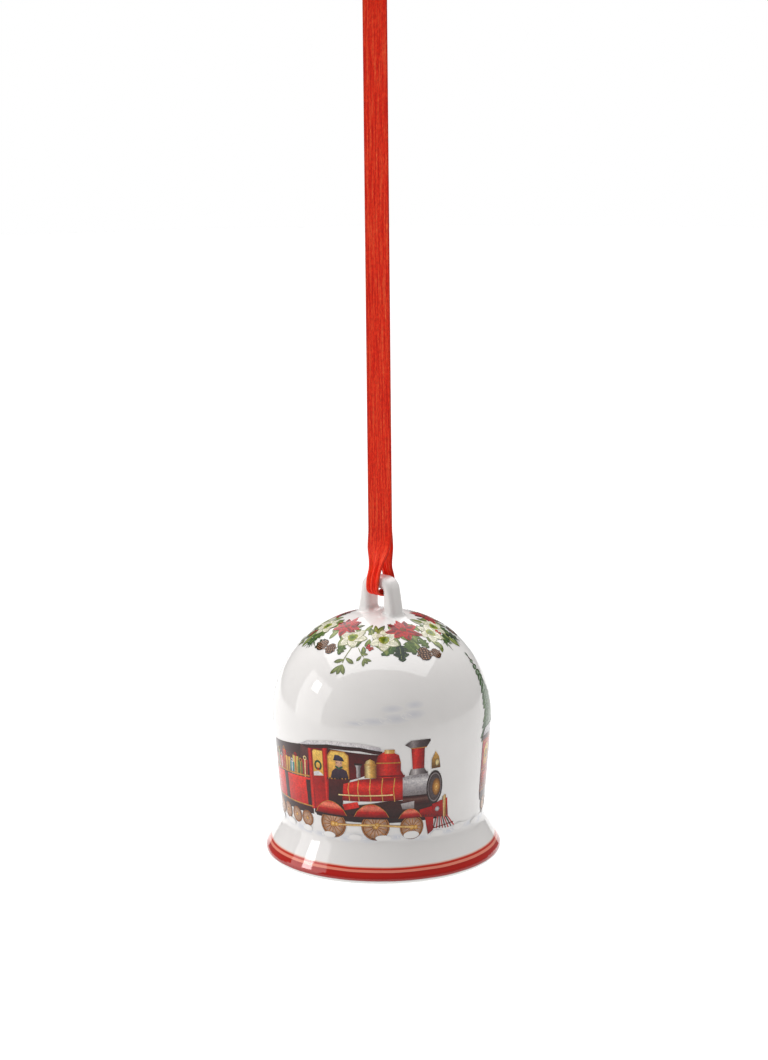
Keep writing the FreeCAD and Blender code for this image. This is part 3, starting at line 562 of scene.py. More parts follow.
# %% Rim bands and the bare foot ring
BAND_SPAN, BAND_TOP, BAND_INSIDE = 5.0, 4.45, 0.0276
glaze, tree, shader, place, white = glaze_start("glazed_porcelain_banded")
own = add(tree, "SeparateXYZ", {"Vector": place})
height_mm = maths(tree, "MULTIPLY_ADD", own.outputs["Z"], 1 / MM, -foot / MM)
waver = maths(tree, "MULTIPLY_ADD", noise(tree, place, 140.0, 1.0), 0.16, -0.08)
level = maths(tree, "DIVIDE", maths(tree, "ADD", height_mm, waver), BAND_SPAN)
BARE, PEACH = (0.80, 0.775, 0.75, 1), ink(238, 140, 118)
# The lower red band is darker at its foot edge than in its middle: a painted shade.
BANDS = ((0.0, BARE), (0.95, BARE), (1.1, ink(158, 20, 10)), (2.2, ink(186, 24, 12)),
         (2.98, ink(176, 26, 14)), (3.08, PEACH), (3.52, PEACH), (3.66, ink(198, 40, 22)),
         (3.98, ink(200, 46, 28)), (4.2, ink(240, 196, 180)), (4.5, WHITE))
bands = ramp(tree, level, *[(height / BAND_SPAN, colour) for height, colour in BANDS])
flat = add(tree, "CombineXYZ", {"X": own.outputs["X"], "Y": own.outputs["Y"]}).outputs[0]
reach = add(tree, "VectorMath", {0: flat}, operation="LENGTH").outputs["Value"]
banded = maths(tree, "MULTIPLY", maths(tree, "GREATER_THAN", reach, BAND_INSIDE),
               maths(tree, "LESS_THAN", height_mm, BAND_TOP))
paint = add(tree, "MixRGB", {"Fac": banded, "Color1": white, "Color2": bands})
tree.links.new(paint.outputs["Color"], shader.inputs["Base Color"])
bare = add(tree, "MapRange", {"Value": height_mm, "From Min": 0.02, "From Max": 0.12,
                              "To Min": 0.55, "To Max": 0.045})
tree.links.new(bare.outputs["Result"], shader.inputs["Roughness"])
print("banded glaze:", len(tree.nodes), "nodes")

# %% Glaze for the loop
def dress(name, finish):
    """Gives a piece of the frame its finish."""
    piece = nodes[name]
    piece.data.materials.clear()
    piece.data.materials.append(finish)
    print("dressed", name, "with", finish.name)


dress("bell_shell", glaze)
dress("hanger_loop", plain_glaze("glazed_porcelain_loop"))

# %% [markdown]
# ## Measuring the wall for the print
# The picture on a bell like this is a transfer: it is printed flat, soaked off its paper
# and slid onto the curved wall. To do the same, the wall is measured first. Rays shot
# at the bell from outside give its radius at every height, and adding up the steps gives
# the distance along the wall, so a flat drawing can be laid on without stretching.

# %% The wall's outline
shell = nodes["bell_shell"].data
shell_tree = BVHTree.FromPolygons([v.co for v in shell.vertices],
                                  [tuple(p.vertices) for p in shell.polygons])


def touch(height, elevation):
    """Where a ray from outside, aimed at the axis, meets the wall: (radius, height) in mm."""
    aim = Vector((0, 0, foot + height * MM))
    lean = Vector((math.cos(elevation), 0, math.sin(elevation)))
    hit = shell_tree.ray_cast(aim + lean * 0.08, -lean)[0]
    return math.hypot(hit.x, hit.y) / MM, (hit.z - foot) / MM


outline = [touch(0.5 + 0.25 * k, 0.0) for k in range(144)]
outline += [touch(36.5, math.radians(a / 2)) for a in range(1, 175)]
wall_at = [0.0]
for (r0, h0), (r1, h1) in zip(outline, outline[1:]):
    wall_at.append(wall_at[-1] + math.hypot(r1 - r0, h1 - h0))
heights = [h for r, h in outline]
print("wall from foot to crown:", round(wall_at[-1], 1), "mm long, widest radius",
      round(max(r for r, h in outline), 2), "mm")


def wall_distance(height):
    """Distance along the wall of a height, both in mm."""
    k = min(max(bisect.bisect_left(heights, height), 1), len(heights) - 1)
    share = (height - heights[k - 1]) / (heights[k] - heights[k - 1])
    return wall_at[k - 1] + share * (wall_at[k] - wall_at[k - 1])


def wall_point(angle, distance, lift):
    """A point and its normal on the glaze, in the frame; angle 0 faces the front."""
    k = min(max(bisect.bisect_left(wall_at, distance), 2), len(wall_at) - 2)
    share = (distance - wall_at[k - 1]) / (wall_at[k] - wall_at[k - 1])
    r = outline[k - 1][0] + share * (outline[k][0] - outline[k - 1][0])
    h = outline[k - 1][1] + share * (outline[k][1] - outline[k - 1][1])
    dr, dh = outline[k + 1][0] - outline[k - 2][0], outline[k + 1][1] - outline[k - 2][1]
    out = Vector((math.sin(angle), -math.cos(angle), 0))
    normal = (out * dh - Vector((0, 0, dr))).normalized()
    return out * r * MM + Vector((0, 0, foot + h * MM)) + normal * lift * MM, normal

# %% [markdown]
# ## The transfer print
# Each sheet of the print is one thin mesh made of many small painted shapes, every shape
# a hair above the one before it, as ink layers are. The colour is painted on the points
# of the mesh and read by an Attribute node. An image would be the other way to do it,
# but painted shapes stay crisp however near one looks. The drawing kit knows five shapes:
# blades for leaves and petals, discs, hoops, strokes and panels.

# %% Printed colours
def print_finish(name):
    """Ink under glaze: the painted colour, broken up by the fine grain of a print."""
    finish, tree, shader = new_finish(name, Roughness=0.07, Coat_Weight=0.12,
                                      Coat_Roughness=0.02, Specular_IOR_Level=0.32)
    painted = add(tree, "Attribute", attribute_name="ink").outputs["Color"]
    place = add(tree, "TexCoord").outputs["Object"]
    fine = ramp(tree, noise(tree, place, 2600.0, 2.0),
                (0.3, (0.74, 0.74, 0.76, 1)), (0.7, (1.14, 1.12, 1.08, 1)))
    broad = ramp(tree, noise(tree, place, 620.0, 3.0, Roughness=0.7),
                 (0.32, (0.78, 0.75, 0.76, 1)), (0.68, (1.16, 1.14, 1.1, 1)))
    tree.links.new(times(tree, times(tree, painted, fine), broad), shader.inputs["Base Color"])
    return finish


transfer = print_finish("transfer_print")


def blend_ink(a, b, share):
    share = min(max(share, 0.0), 1.0)
    return tuple(x + (y - x) * share for x, y in zip(a, b))

# %% Where a shape goes on the wall
WAIST_RADIUS = 27.0
INK_LIFT, LAYER_LIFT = 0.035, 0.012


def at(angle_deg, height, turn):
    """A flat drawing's place on the wall, turned by so many degrees."""
    start = wall_distance(height)
    k = min(max(bisect.bisect_left(wall_at, start), 1), len(wall_at) - 1)
    radius = outline[k][0]
    c, s = math.cos(math.radians(turn)), math.sin(math.radians(turn))
    return lambda u, v: (math.radians(angle_deg) + (u * c - v * s) / radius, start + u * s + v * c)


def waist(u, v):
    """The waist band's own flat sheet: u mm round from the front, v mm above the foot."""
    return u / WAIST_RADIUS, wall_distance(v)


def shifted(u0, v0):
    """A small drawing's place on the waist."""
    return lambda u, v: waist(u0 + u, v0 + v)

# %% Sheets of print
class Sheet:
    """One sheet of the transfer; its shapes are gathered and become one mesh."""

    def __init__(self, name, finish_used=None):
        self.name, self.points, self.normals, self.inks, self.faces = name, [], [], [], []
        self.finish_used = finish_used or transfer

    def lay(self, where, flat, inks, faces, layer):
        base = len(self.points)
        for (u, v), colour in zip(flat, inks):
            angle, distance = where(u, v)
            point, normal = wall_point(angle, distance, INK_LIFT + LAYER_LIFT * layer)
            self.points.append(point)
            self.normals.append(normal)
            self.inks.append(colour)
        self.faces.extend(tuple(base + k for k in face) for face in faces)

    def finish(self):
        mesh = bpy.data.meshes.new(self.name)
        mesh.from_pydata(self.points, [], self.faces)
        mesh.update()
        turned = [p.index for p in mesh.polygons
                  if p.normal.dot(self.normals[p.vertices[0]]) < 0]
        if turned:
            form = bmesh.new()
            form.from_mesh(mesh)
            form.faces.ensure_lookup_table()
            bmesh.ops.reverse_faces(form, faces=[form.faces[k] for k in turned])
            form.to_mesh(mesh)
            form.free()
        colour = mesh.color_attributes.new("ink", "FLOAT_COLOR", "POINT")
        for k, value in enumerate(self.inks):
            colour.data[k].color = value
        mesh.shade_smooth()
        mesh.normals_split_custom_set_from_vertices(self.normals)
        mesh.materials.append(self.finish_used)
        piece = put(self.name, mesh)
        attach(piece, "bell")
        print(self.name, "printed with", len(mesh.polygons), "faces")
        return piece

# %% The five shapes
def blade(sheet, where, length, width, rib, edge, layer, shape=None, bend=0.0, tip=None, steps=7):
    """A leaf or petal from the origin upwards: rib colour in the middle, edge colour outside."""
    shape = shape or (lambda t: math.sin(math.pi * min(1.0, t * 0.96 + 0.04)) ** 0.8)
    flat, inks, faces = [], [], []
    for i in range(steps + 1):
        t = i / steps
        half = width / 2 * shape(t)
        lean = bend * t * t * length
        for c in (-1.0, -0.5, 0.0, 0.5, 1.0):
            flat.append((lean + c * half, t * length))
            colour = blend_ink(rib, edge, abs(c) ** 1.3)
            inks.append(blend_ink(colour, tip, t * t) if tip else colour)
    for i in range(steps):
        for c in range(4):
            a = i * 5 + c
            faces.append((a, a + 1, a + 6, a + 5))
    sheet.lay(where, flat, inks, faces, layer)


def disc(sheet, where, radius, middle, rim, layer, centre=(0, 0), flatten=1.0, spokes=14,
         light=None, wobble=0.0):
    """A round spot; light, if given, colours its very middle, as the pale middle of a berry."""
    flat, inks, faces = [centre], [light or middle], []
    for ring, share in enumerate((0.5, 1.0)):
        for k in range(spokes):
            a = math.tau * k / spokes
            r = radius * share * (1 + wobble * math.sin(3 * a + radius * 9))
            flat.append((centre[0] + r * math.cos(a) * flatten, centre[1] + r * math.sin(a)))
            inks.append(middle if ring == 0 else rim)
    for k in range(spokes):
        n = (k + 1) % spokes
        faces.append((0, 1 + k, 1 + n))
        faces.append((1 + k, 1 + spokes + k, 1 + spokes + n, 1 + n))
    sheet.lay(where, flat, inks, faces, layer)


def hoop(sheet, where, radius, width, colour, layer, centre=(0, 0), flatten=1.0, start=0.0,
         end=360.0, steps=28):
    flat, faces = [], []
    for k in range(steps + 1):
        a = math.radians(start + (end - start) * k / steps)
        for r in (radius - width / 2, radius + width / 2):
            flat.append((centre[0] + r * math.cos(a) * flatten, centre[1] + r * math.sin(a)))
    faces = [(2 * k, 2 * k + 1, 2 * k + 3, 2 * k + 2) for k in range(steps)]
    sheet.lay(where, flat, [colour] * len(flat), faces, layer)


def stroke(sheet, where, line, width, colour, layer, end_colour=None):
    """A painted line of one width through a few points, subdivided so that it hugs the wall."""
    fine = []
    for a, b in zip(line, line[1:]):
        cuts = max(1, int(math.dist(a, b) / 0.8))
        fine += [(a[0] + (b[0] - a[0]) * k / cuts, a[1] + (b[1] - a[1]) * k / cuts)
                 for k in range(cuts)]
    fine.append(line[-1])
    flat, inks, faces = [], [], []
    for k, (u, v) in enumerate(fine):
        a, b = fine[max(k - 1, 0)], fine[min(k + 1, len(fine) - 1)]
        run = math.dist(a, b) or 1.0
        du, dv = -(b[1] - a[1]) / run * width / 2, (b[0] - a[0]) / run * width / 2
        flat += [(u + du, v + dv), (u - du, v - dv)]
        shade = blend_ink(colour, end_colour or colour, k / (len(fine) - 1))
        inks += [shade, shade]
    faces = [(2 * k, 2 * k + 1, 2 * k + 3, 2 * k + 2) for k in range(len(fine) - 1)]
    sheet.lay(where, flat, inks, faces, layer)


def panel(sheet, where, corners, shade, layer, cell=0.6):
    """A filled outline; shade is one ink or a function of (u, v) that gives one."""
    form = bmesh.new()
    form.faces.new([form.verts.new((u, v, 0)) for u, v in corners])
    for axis in (0, 1):
        low = min(p[axis] for p in corners)
        high = max(p[axis] for p in corners)
        cuts = int((high - low) / cell)
        for k in range(1, cuts + 1):
            place = low + (high - low) * k / (cuts + 1)
            bmesh.ops.bisect_plane(form, geom=form.verts[:] + form.edges[:] + form.faces[:],
                                   plane_co=(place, place, 0),
                                   plane_no=(1, 0, 0) if axis == 0 else (0, 1, 0))
    form.verts.index_update()
    flat = [(v.co.x, v.co.y) for v in form.verts]
    inks = [shade(u, v) if callable(shade) else shade for u, v in flat]
    sheet.lay(where, flat, inks, [[v.index for v in f.verts] for f in form.faces], layer)
    form.free()


def across_shade(low, high, *marks):
    """A colour that changes with height from low to high through marks of (share, ink)."""
    def shade(u, v):
        t = (v - low) / (high - low)
        for (t0, ink0), (t1, ink1) in zip(marks, marks[1:]):
            if t <= t1:
                return blend_ink(ink0, ink1, (t - t0) / (t1 - t0))
        return marks[-1][1]
    return shade


def round_shade(left, right, dark, body, light):
    """The shading of an upright round thing: dark edges and a bright line left of the middle."""
    def shade(u, v):
        t = (u - left) / (right - left)
        if t < 0.32:
            return blend_ink(dark, light, t / 0.32)
        if t < 0.55:
            return blend_ink(light, body, (t - 0.32) / 0.23)
        return blend_ink(body, dark, (t - 0.55) / 0.45)
    return shade

# %% [markdown]
# ## The garland's plants
# Round the crown runs a wreath of winter plants. Each kind of plant is a small function
# that draws one of it, always from the same few blades and discs, with a little chance
# in its angles and sizes so that no two come out the same. The chance is seeded, so the
# wreath is the same every time. All of these are plain garden plants drawn anew.

# %% Poinsettia and hellebore
chance = random.Random(24)


def vary(value, share=0.12):
    return value * (1 + chance.uniform(-share, share))


def poinsettia(sheet, angle, height, size, turn=0.0):
    deep, red, bright = ink(84, 4, 10), ink(176, 8, 16), ink(214, 34, 34)
    pointed = lambda t: math.sin(math.pi * t ** 0.85) ** 0.75
    for ring, (count, reach, wide) in enumerate(((8, 1.0, 0.44), (7, 0.74, 0.36), (5, 0.45, 0.26))):
        for k in range(count):
            lean = turn + 360 * k / count + ring * 23 + chance.uniform(-7, 7)
            blade(sheet, at(angle, height, lean), vary(size * reach), vary(size * wide),
                  deep if ring < 2 else red, red if k % 2 else bright, 7 + ring * 1.5 + 0.15 * k,
                  shape=pointed, bend=chance.uniform(-0.15, 0.15),
                  tip=bright if k % 3 == 0 else None)
    for k in range(6):
        a = math.tau * k / 6
        disc(sheet, at(angle, height, 0), size * 0.07, ink(90, 40, 20), ink(60, 60, 20), 12,
             centre=(size * 0.13 * math.cos(a), size * 0.13 * math.sin(a)), spokes=7,
             light=ink(210, 170, 60))


def hellebore(sheet, angle, height, size, turn=0.0):
    cream, shade, vein = ink(246, 243, 230), ink(214, 216, 190), ink(188, 196, 148)
    full = lambda t: math.sin(math.pi * t ** 0.7) ** 0.55 if t < 1 else 0.0
    for k in range(6):
        lean = turn + 60 * k + chance.uniform(-8, 8)
        blade(sheet, at(angle, height, lean), vary(size, 0.06) * 1.03, size * 0.74, vein,
              ink(150, 158, 116), 4.6 + 0.2 * k, shape=full, steps=8)
        blade(sheet, at(angle, height, lean), vary(size, 0.04) * 0.97, size * 0.64, shade, cream,
              4.7 + 0.2 * k, shape=full, steps=8)
        stroke(sheet, at(angle, height, lean), [(0, size * 0.3), (0, size * 0.78)], 0.09, vein,
               5.9 + 0.1 * k, end_colour=cream)
    disc(sheet, at(angle, height, 0), size * 0.36, ink(108, 132, 34), ink(150, 160, 60), 6.6,
         light=ink(60, 90, 20), wobble=0.12)
    for k in range(11):
        a = math.tau * k / 11 + chance.uniform(-0.2, 0.2)
        r = size * chance.uniform(0.22, 0.36)
        disc(sheet, at(angle, height, 0), 0.14, ink(226, 214, 90), ink(150, 150, 40), 6.9,
             centre=(r * math.cos(a), r * math.sin(a)), spokes=6)

# %% Leaves, needles and sprigs
GREENS = (ink(28, 58, 26), ink(42, 78, 34), ink(62, 98, 40), ink(22, 48, 28), ink(80, 108, 38))


def ivy_leaf(sheet, angle, height, size, turn, layer=2.0):
    def lobes(t):
        waves = 0.45 + 0.55 * abs(math.cos(3.3 * math.pi * t))
        return waves * math.sin(math.pi * t ** 0.6) ** 0.7

    dark = chance.choice(GREENS)
    blade(sheet, at(angle, height, turn), size, size * 0.86, ink(120, 142, 70), dark, layer,
          shape=lobes, bend=chance.uniform(-0.2, 0.2), tip=ink(34, 60, 34), steps=13)
    blade(sheet, at(angle, height, turn), size * 0.92, size * 0.7, dark,
          blend_ink(dark, (0, 0, 0, 1), 0.25),
          layer + 0.2, shape=lobes, bend=0.0, steps=13)
    stroke(sheet, at(angle, height, turn), [(0, 0), (0.03, size * 0.85)], 0.09, ink(146, 160, 88),
           layer + 0.45)


def broad_leaf(sheet, angle, height, size, turn, layer=1.6, light=False):
    dark = ink(104, 122, 50) if light else chance.choice(GREENS)
    blade(sheet, at(angle, height, turn), size, size * 0.42, ink(150, 164, 90), dark, layer,
          bend=chance.uniform(-0.3, 0.3), tip=blend_ink(dark, (0, 0, 0, 1), 0.2))
    stroke(sheet, at(angle, height, turn), [(0, 0), (0, size * 0.8)], 0.08, ink(168, 176, 104),
           layer + 0.3)


def needles(sheet, angle, height, reach, turn, spread=50, count=12):
    for k in range(count):
        lean = turn + spread * (k / (count - 1) - 0.5) * 2 + chance.uniform(-5, 5)
        blade(sheet, at(angle, height, lean), vary(reach, 0.25), 0.34, ink(74, 100, 52),
              chance.choice(GREENS), 0.6 + 0.05 * k, bend=chance.uniform(-0.2, 0.2), steps=5)


def mistletoe(sheet, angle, height, reach, turn):
    """A sprig of one stem with paired long leaves."""
    stem = ink(128, 138, 74)
    where = at(angle, height, turn)
    stroke(sheet, where, [(0, 0), (0.15, reach * 0.5), (0, reach * 0.72)], 0.2, stem, 2.6)
    c, s = math.cos(math.radians(turn)), math.sin(math.radians(turn))
    radius = outline[min(bisect.bisect_left(heights, height), len(outline) - 1)][0]
    for share, lean, size in ((0.42, 62, 0.42), (0.5, -58, 0.46), (0.7, 34, 0.5), (0.72, -30, 0.52),
                              (0.74, 2, 0.4)):
        x, y = -s * reach * share, c * reach * share
        a = angle + math.degrees(x / radius)
        h = height + y * 0.55 * (outline[-1][1] - height) / 8 if height > 60 else height + y * 0.72
        blade(sheet, at(a, h, turn + lean + chance.uniform(-6, 6)), vary(reach * size),
              reach * 0.17,
              ink(150, 162, 96), ink(78, 98, 48), 3.0 + share, shape=lambda t: math.sin(
                  math.pi * t ** 1.25) ** 0.7, tip=ink(92, 104, 56))

# %% Cones and berries
def cone(sheet, angle, height, size, turn):
    where = at(angle, height, turn)
    disc(sheet, where, size * 0.56, ink(38, 20, 14), ink(28, 16, 12), 3.4, flatten=0.8,
         centre=(0, size * 0.5), spokes=18)
    rows = 6
    for r in range(rows):
        v = size * (0.1 + 0.8 * r / (rows - 1))
        half = size * 0.42 * math.sin(math.pi * (0.14 + 0.72 * r / (rows - 1)))
        count = 3 + (r in (2, 3)) + (r in (1, 2, 3, 4))
        for k in range(count):
            u = half * (2 * k / (count - 1) - 1) + (0.05 * size if r % 2 else -0.05 * size)
            disc(sheet, where, size * 0.085, ink(122, 76, 46), ink(44, 24, 16), 3.7 + 0.1 * r,
                 centre=(u, v), flatten=1.3, spokes=8, light=ink(226, 190, 150))


def berries(sheet, angle, height, count, reach):
    for k in range(count):
        a, r = chance.uniform(0, math.tau), reach * math.sqrt(chance.random())
        disc(sheet, at(angle, height, 0), vary(0.42), ink(196, 30, 30), ink(116, 14, 18),
             8 + 0.2 * k,
             centre=(r * math.cos(a), r * math.sin(a)), spokes=10, light=ink(240, 130, 112))
        blade(sheet, at(angle, height, chance.uniform(0, 360)), reach * 0.9, 0.36, ink(190, 80, 60),
              ink(150, 40, 36), 7.4, steps=4)

# %% [markdown]
# ## Laying the garland
# The wreath is built from two bunches that take turns round the crown, as printed
# garlands repeat. Each bunch is a short list of what grows where, given as a share of
# its width and a height on the bell, so a bunch can be stretched to close the ring.

# %% Two bunches
PINE_BUNCH = (
    ("needles", 0.02, 57.6, 3.4, 120), ("leaf", 0.04, 60.2, 3.6, 150),
              ("leaf", 0.10, 58.6, 4.2, 160),
    ("ivy", 0.12, 58.2, 4.6, 200), ("ivy", 0.20, 58.9, 4.0, 165), ("leaf", 0.05, 57.4, 4.6, 185),
    ("needles", 0.16, 56.9, 3.0, 195), ("hellebore", 0.06, 59.4, 3.5, 10),
              ("ivy", 0.36, 57.8, 3.6, 170),
    ("leaf", 0.28, 60.0, 3.6, 30), ("leaf", 0.62, 60.4, 3.2, 330), ("cone", 0.40, 57.7, 3.3, 172),
    ("cone", 0.52, 57.4, 3.0, 190), ("leaf", 0.60, 58.0, 3.2, 200), ("ivy", 0.66, 57.6, 3.2, 178),
    ("mistletoe", 0.77, 57.3, 6.6, 172), ("mistletoe", 0.85, 57.4, 4.6, 215),
              ("leaf", 0.9, 57.7, 2.8, 200),
    ("hellebore", 0.715, 59.1, 3.7, 25), ("poinsettia", 0.46, 60.6, 4.1, 5),
              ("berries", 0.98, 57.3, 4, 1.2),
    ("leaf", 0.84, 60.4, 3.0, 320), ("leaf", 0.97, 59.9, 2.6, 10),
)
HOLLY_BUNCH = (
    ("leaf", 0.04, 60.2, 3.0, 20), ("hellebore", 0.14, 58.95, 3.8, 0),
               ("ivy", 0.24, 58.0, 4.3, 150),
    ("sprig", 0.16, 57.6, 2.4, 176), ("ivy", 0.31, 57.9, 5.2, 176), ("ivy", 0.40, 58.3, 4.4, 200),
    ("leaf", 0.50, 58.2, 3.6, 186), ("cone", 0.55, 56.9, 3.7, 178), ("cone", 0.67, 56.2, 2.7, 186),
    ("ivy", 0.60, 58.4, 3.4, 190), ("leaf", 0.74, 57.6, 3.6, 205), ("leaf", 0.80, 57.2, 3.4, 178),
    ("needles", 0.92, 57.6, 3.8, 222), ("leaf", 0.90, 58.3, 3.2, 210),
               ("leaf", 0.64, 60.4, 3.2, 40),
    ("poinsettia", 0.465, 60.35, 4.5, 0), ("hellebore", 0.85, 58.9, 3.7, 30),
               ("leaf", 0.24, 60.6, 2.8, 340),
    ("berries", 0.985, 58.6, 3, 0.9), ("ivy", 0.97, 59.4, 3.4, 40),
)


def leaf_bed(sheet, start, span):
    """Dark leaves that fill in behind the flowers of one bunch."""
    for k in range(26):
        share = (k + chance.random()) / 26
        height = 58.9 + 1.5 * chance.random()
        turn = chance.choice((150, 175, 200, 215, 20, 340))
        broad_leaf(sheet, start + share * span, height, vary(3.4, 0.25), turn, layer=0.5 + 0.03 * k,
                   light=k % 5 == 0)


def plant_bunch(sheet, bunch, start, span):
    leaf_bed(sheet, start, span)
    for kind, share, height, size, turn in bunch:
        angle = start + share * span
        if kind == "needles":
            needles(sheet, angle, height, size, turn)
        elif kind == "leaf":
            broad_leaf(sheet, angle, height, size, turn, light=chance.random() < 0.35)
        elif kind == "sprig":
            broad_leaf(sheet, angle, height, size, turn, layer=2.4, light=True)
            broad_leaf(sheet, angle - 1.5, height + 0.4, size * 0.7, turn - 25, layer=2.7,
                       light=True)
        elif kind == "ivy":
            ivy_leaf(sheet, angle, height, size, turn)
        elif kind == "mistletoe":
            mistletoe(sheet, angle, height, size, turn)
        elif kind == "cone":
            cone(sheet, angle, height, size, turn)
        elif kind == "hellebore":
            hellebore(sheet, angle, height, size, turn)
        elif kind == "poinsettia":
            poinsettia(sheet, angle, height, size, turn)
        elif kind == "berries":
            berries(sheet, angle, height, size, turn)

# %% Round the crown
garland_back = Sheet("garland_back")
garland_front = Sheet("garland_front")
plant_bunch(garland_front, PINE_BUNCH, -85, 77)
plant_bunch(garland_front, HOLLY_BUNCH, -8, 77)
plant_bunch(garland_back, PINE_BUNCH, 69, 69)
plant_bunch(garland_back, HOLLY_BUNCH, 138, 69)
plant_bunch(garland_back, PINE_BUNCH, 207, 68)
garland_front.finish()
garland_back.finish()

# %% [markdown]
# ## The toy train
# Round the waist runs a little steam train in the snow. It is drawn like a paper cut-out:
# big flat panels first, then the round things with a shaded side, then thin gold lines.
# Shading a panel from one colour to another along its height or its width is what makes
# a boiler look round although the print is flat. The engine and its driver are of no
# particular make or story. All places are in millimetres round from the bell's front
# and above its foot, so the drawing could be moved round the bell by adding one number.

# %% Inks of the train and its small parts
GOLD, BRASS, PALE_BRASS = ink(196, 134, 56), ink(224, 172, 84), ink(250, 226, 160)
SOOT, STEEL, PALE_STEEL = ink(46, 28, 28), ink(132, 124, 126), ink(206, 200, 202)
RED, BRIGHT, DEEP, MAROON = ink(200, 18, 14), ink(236, 50, 36), ink(118, 8, 12), ink(66, 12, 16)
SNOW, SNOW_SHADE = ink(232, 230, 233), ink(204, 202, 210)
GLOW, WARM_GLOW = ink(248, 208, 104), ink(226, 160, 60)


def plate(sheet, corners, low_ink, high_ink, layer, cell=0.8):
    """A panel on the waist, shaded from its lower to its upper edge."""
    low, high = min(v for u, v in corners), max(v for u, v in corners)
    panel(sheet, waist, corners, across_shade(low, high, (0, low_ink), (1, high_ink)), layer, cell)


def barrel(sheet, corners, layer, dark=DEEP, body=RED, light=BRIGHT):
    """A lying round thing: dark below, bright a third down from the top."""
    low, high = min(v for u, v in corners), max(v for u, v in corners)
    panel(sheet, waist, corners, across_shade(low, high, (0, dark), (0.35, body), (0.66, light),
                                              (0.8, body), (1, dark)), layer, 0.6)


def post(sheet, corners, layer, dark=DEEP, body=RED, light=BRIGHT):
    """A standing round thing."""
    left, right = min(u for u, v in corners), max(u for u, v in corners)
    panel(sheet, waist, corners, round_shade(left, right, dark, body, light), layer, 0.35)


def lined(sheet, corners, layer, colour=GOLD, width=0.16):
    stroke(sheet, waist, [*corners, corners[0]], width, colour, layer)


def wheel(sheet, u, v, radius, layer, spokes=12):
    place = shifted(u, v)
    disc(sheet, place, radius, ink(196, 160, 134), ink(112, 70, 48), layer, spokes=28)
    hoop(sheet, place, radius * 0.88, radius * 0.16, ink(188, 124, 70), layer + 0.3, steps=32)
    hoop(sheet, place, radius * 0.88, radius * 0.05, SOOT, layer + 0.5, steps=32)
    for k in range(spokes):
        a = math.tau * (k + 0.3) / spokes
        stroke(sheet, place, [(radius * 0.16 * math.cos(a), radius * 0.16 * math.sin(a)),
                              (radius * 0.82 * math.cos(a), radius * 0.82 * math.sin(a))],
               radius * 0.07, ink(150, 92, 50), layer + 0.4, end_colour=ink(186, 122, 66))
    disc(sheet, place, radius * 0.2, BRASS, GOLD, layer + 0.7, spokes=12, light=PALE_BRASS)


def splasher(sheet, left, right, low, high, layer):
    """The rounded red cover over a wheel."""
    arc = [(left + (right - left) * k / 12, low + (high - low) * math.sin(math.pi * k / 12) ** 0.7)
           for k in range(13)]
    panel(sheet, waist, arc,
          across_shade(low, high, (0, DEEP), (0.4, RED), (0.7, ink(250, 140, 112)),
                                          (1, RED)), layer, 0.5)
    stroke(sheet, waist, arc, 0.14, GOLD, layer + 0.3)

# %% Engine: cab and driver
train = Sheet("train_engine")
plate(train, [(-22.5, 33.5), (-20, 33), (-14, 34), (-5.5, 34), (0, 33), (0, 34),
              (-5.5, 35), (-14, 35), (-19.5, 34)], MAROON, SOOT, 6)
plate(train, [(-23, 33.5), (-19.5, 34), (-14, 35), (-5.5, 35), (0, 34), (-0.5, 35),
              (-5.5, 36), (-14, 36), (-20, 35)], SNOW_SHADE, SNOW, 5)
plate(train, [(-15, 34), (0, 33), (-1, 32), (-1.5, 29), (-5.5, 27), (-10, 25.5),
              (-14.5, 24)], DEEP, MAROON, 3)
plate(train, [(-20, 33), (-15, 34), (-14.5, 18.5), (-19.5, 17)], RED, DEEP, 4)
post(train, [(-15.5, 34), (-14, 34), (-14, 18), (-15, 18)], 4.6)
post(train, [(-20, 33), (-19, 33.5), (-18.5, 17), (-20, 17)], 4.6)
plate(train, [(-18.5, 32.5), (-18, 33), (-16, 33), (-15.5, 33), (-15.5, 26.5), (-18.5, 26)],
      WARM_GLOW, GLOW, 5)
lined(train, [(-18.5, 32.5), (-18, 33), (-16, 33), (-15.5, 33), (-15.5, 26.5), (-18.5, 26)], 5.6)
hoop(train, shifted(-17, 29), 1.05, 0.6, ink(40, 72, 44), 5.8, flatten=0.85)
disc(train, shifted(-17, 28), 0.36, RED, DEEP, 6.2, spokes=8)
plate(train, [(-18.5, 27), (-17, 27.5), (-16, 27), (-15.5, 26.5), (-18.5, 26)], SNOW_SHADE, SNOW,
      5.9)
big_window = [(-14, 32), (-13, 33.5), (-9.5, 33.5), (-8.5, 32.5), (-8.5, 26.5), (-14, 26)]
plate(train, big_window, WARM_GLOW, GLOW, 4.6)
plate(train, [(-13.5, 26), (-13, 28), (-12, 29), (-10, 29), (-9, 28.5), (-8.5, 26.5)],
      ink(44, 32, 48), ink(70, 50, 66), 5.0)
disc(train, shifted(-11, 30.5), 1.15, ink(232, 184, 154), ink(206, 150, 122), 5.3, flatten=0.82)
plate(train, [(-12.5, 31), (-12, 32.5), (-11, 32.5), (-10, 32), (-9.5, 31), (-11, 31)],
      ink(36, 34, 52), ink(62, 58, 84), 5.7, 0.5)
stroke(train, waist, [(-12, 29.5), (-11, 29), (-10, 29.5)], 0.55, ink(46, 92, 74), 5.9)
for eye_u in (-11.5, -10.5):
    disc(train, shifted(eye_u, 30.5), 0.13, SOOT, SOOT, 5.9, spokes=6)
lined(train, big_window, 6.2, width=0.3)
plate(train, [(-14, 26), (-8, 26.5), (-10, 22.5), (-10.5, 19), (-14.5, 18.5)], SOOT,
      ink(84, 24, 24), 5)
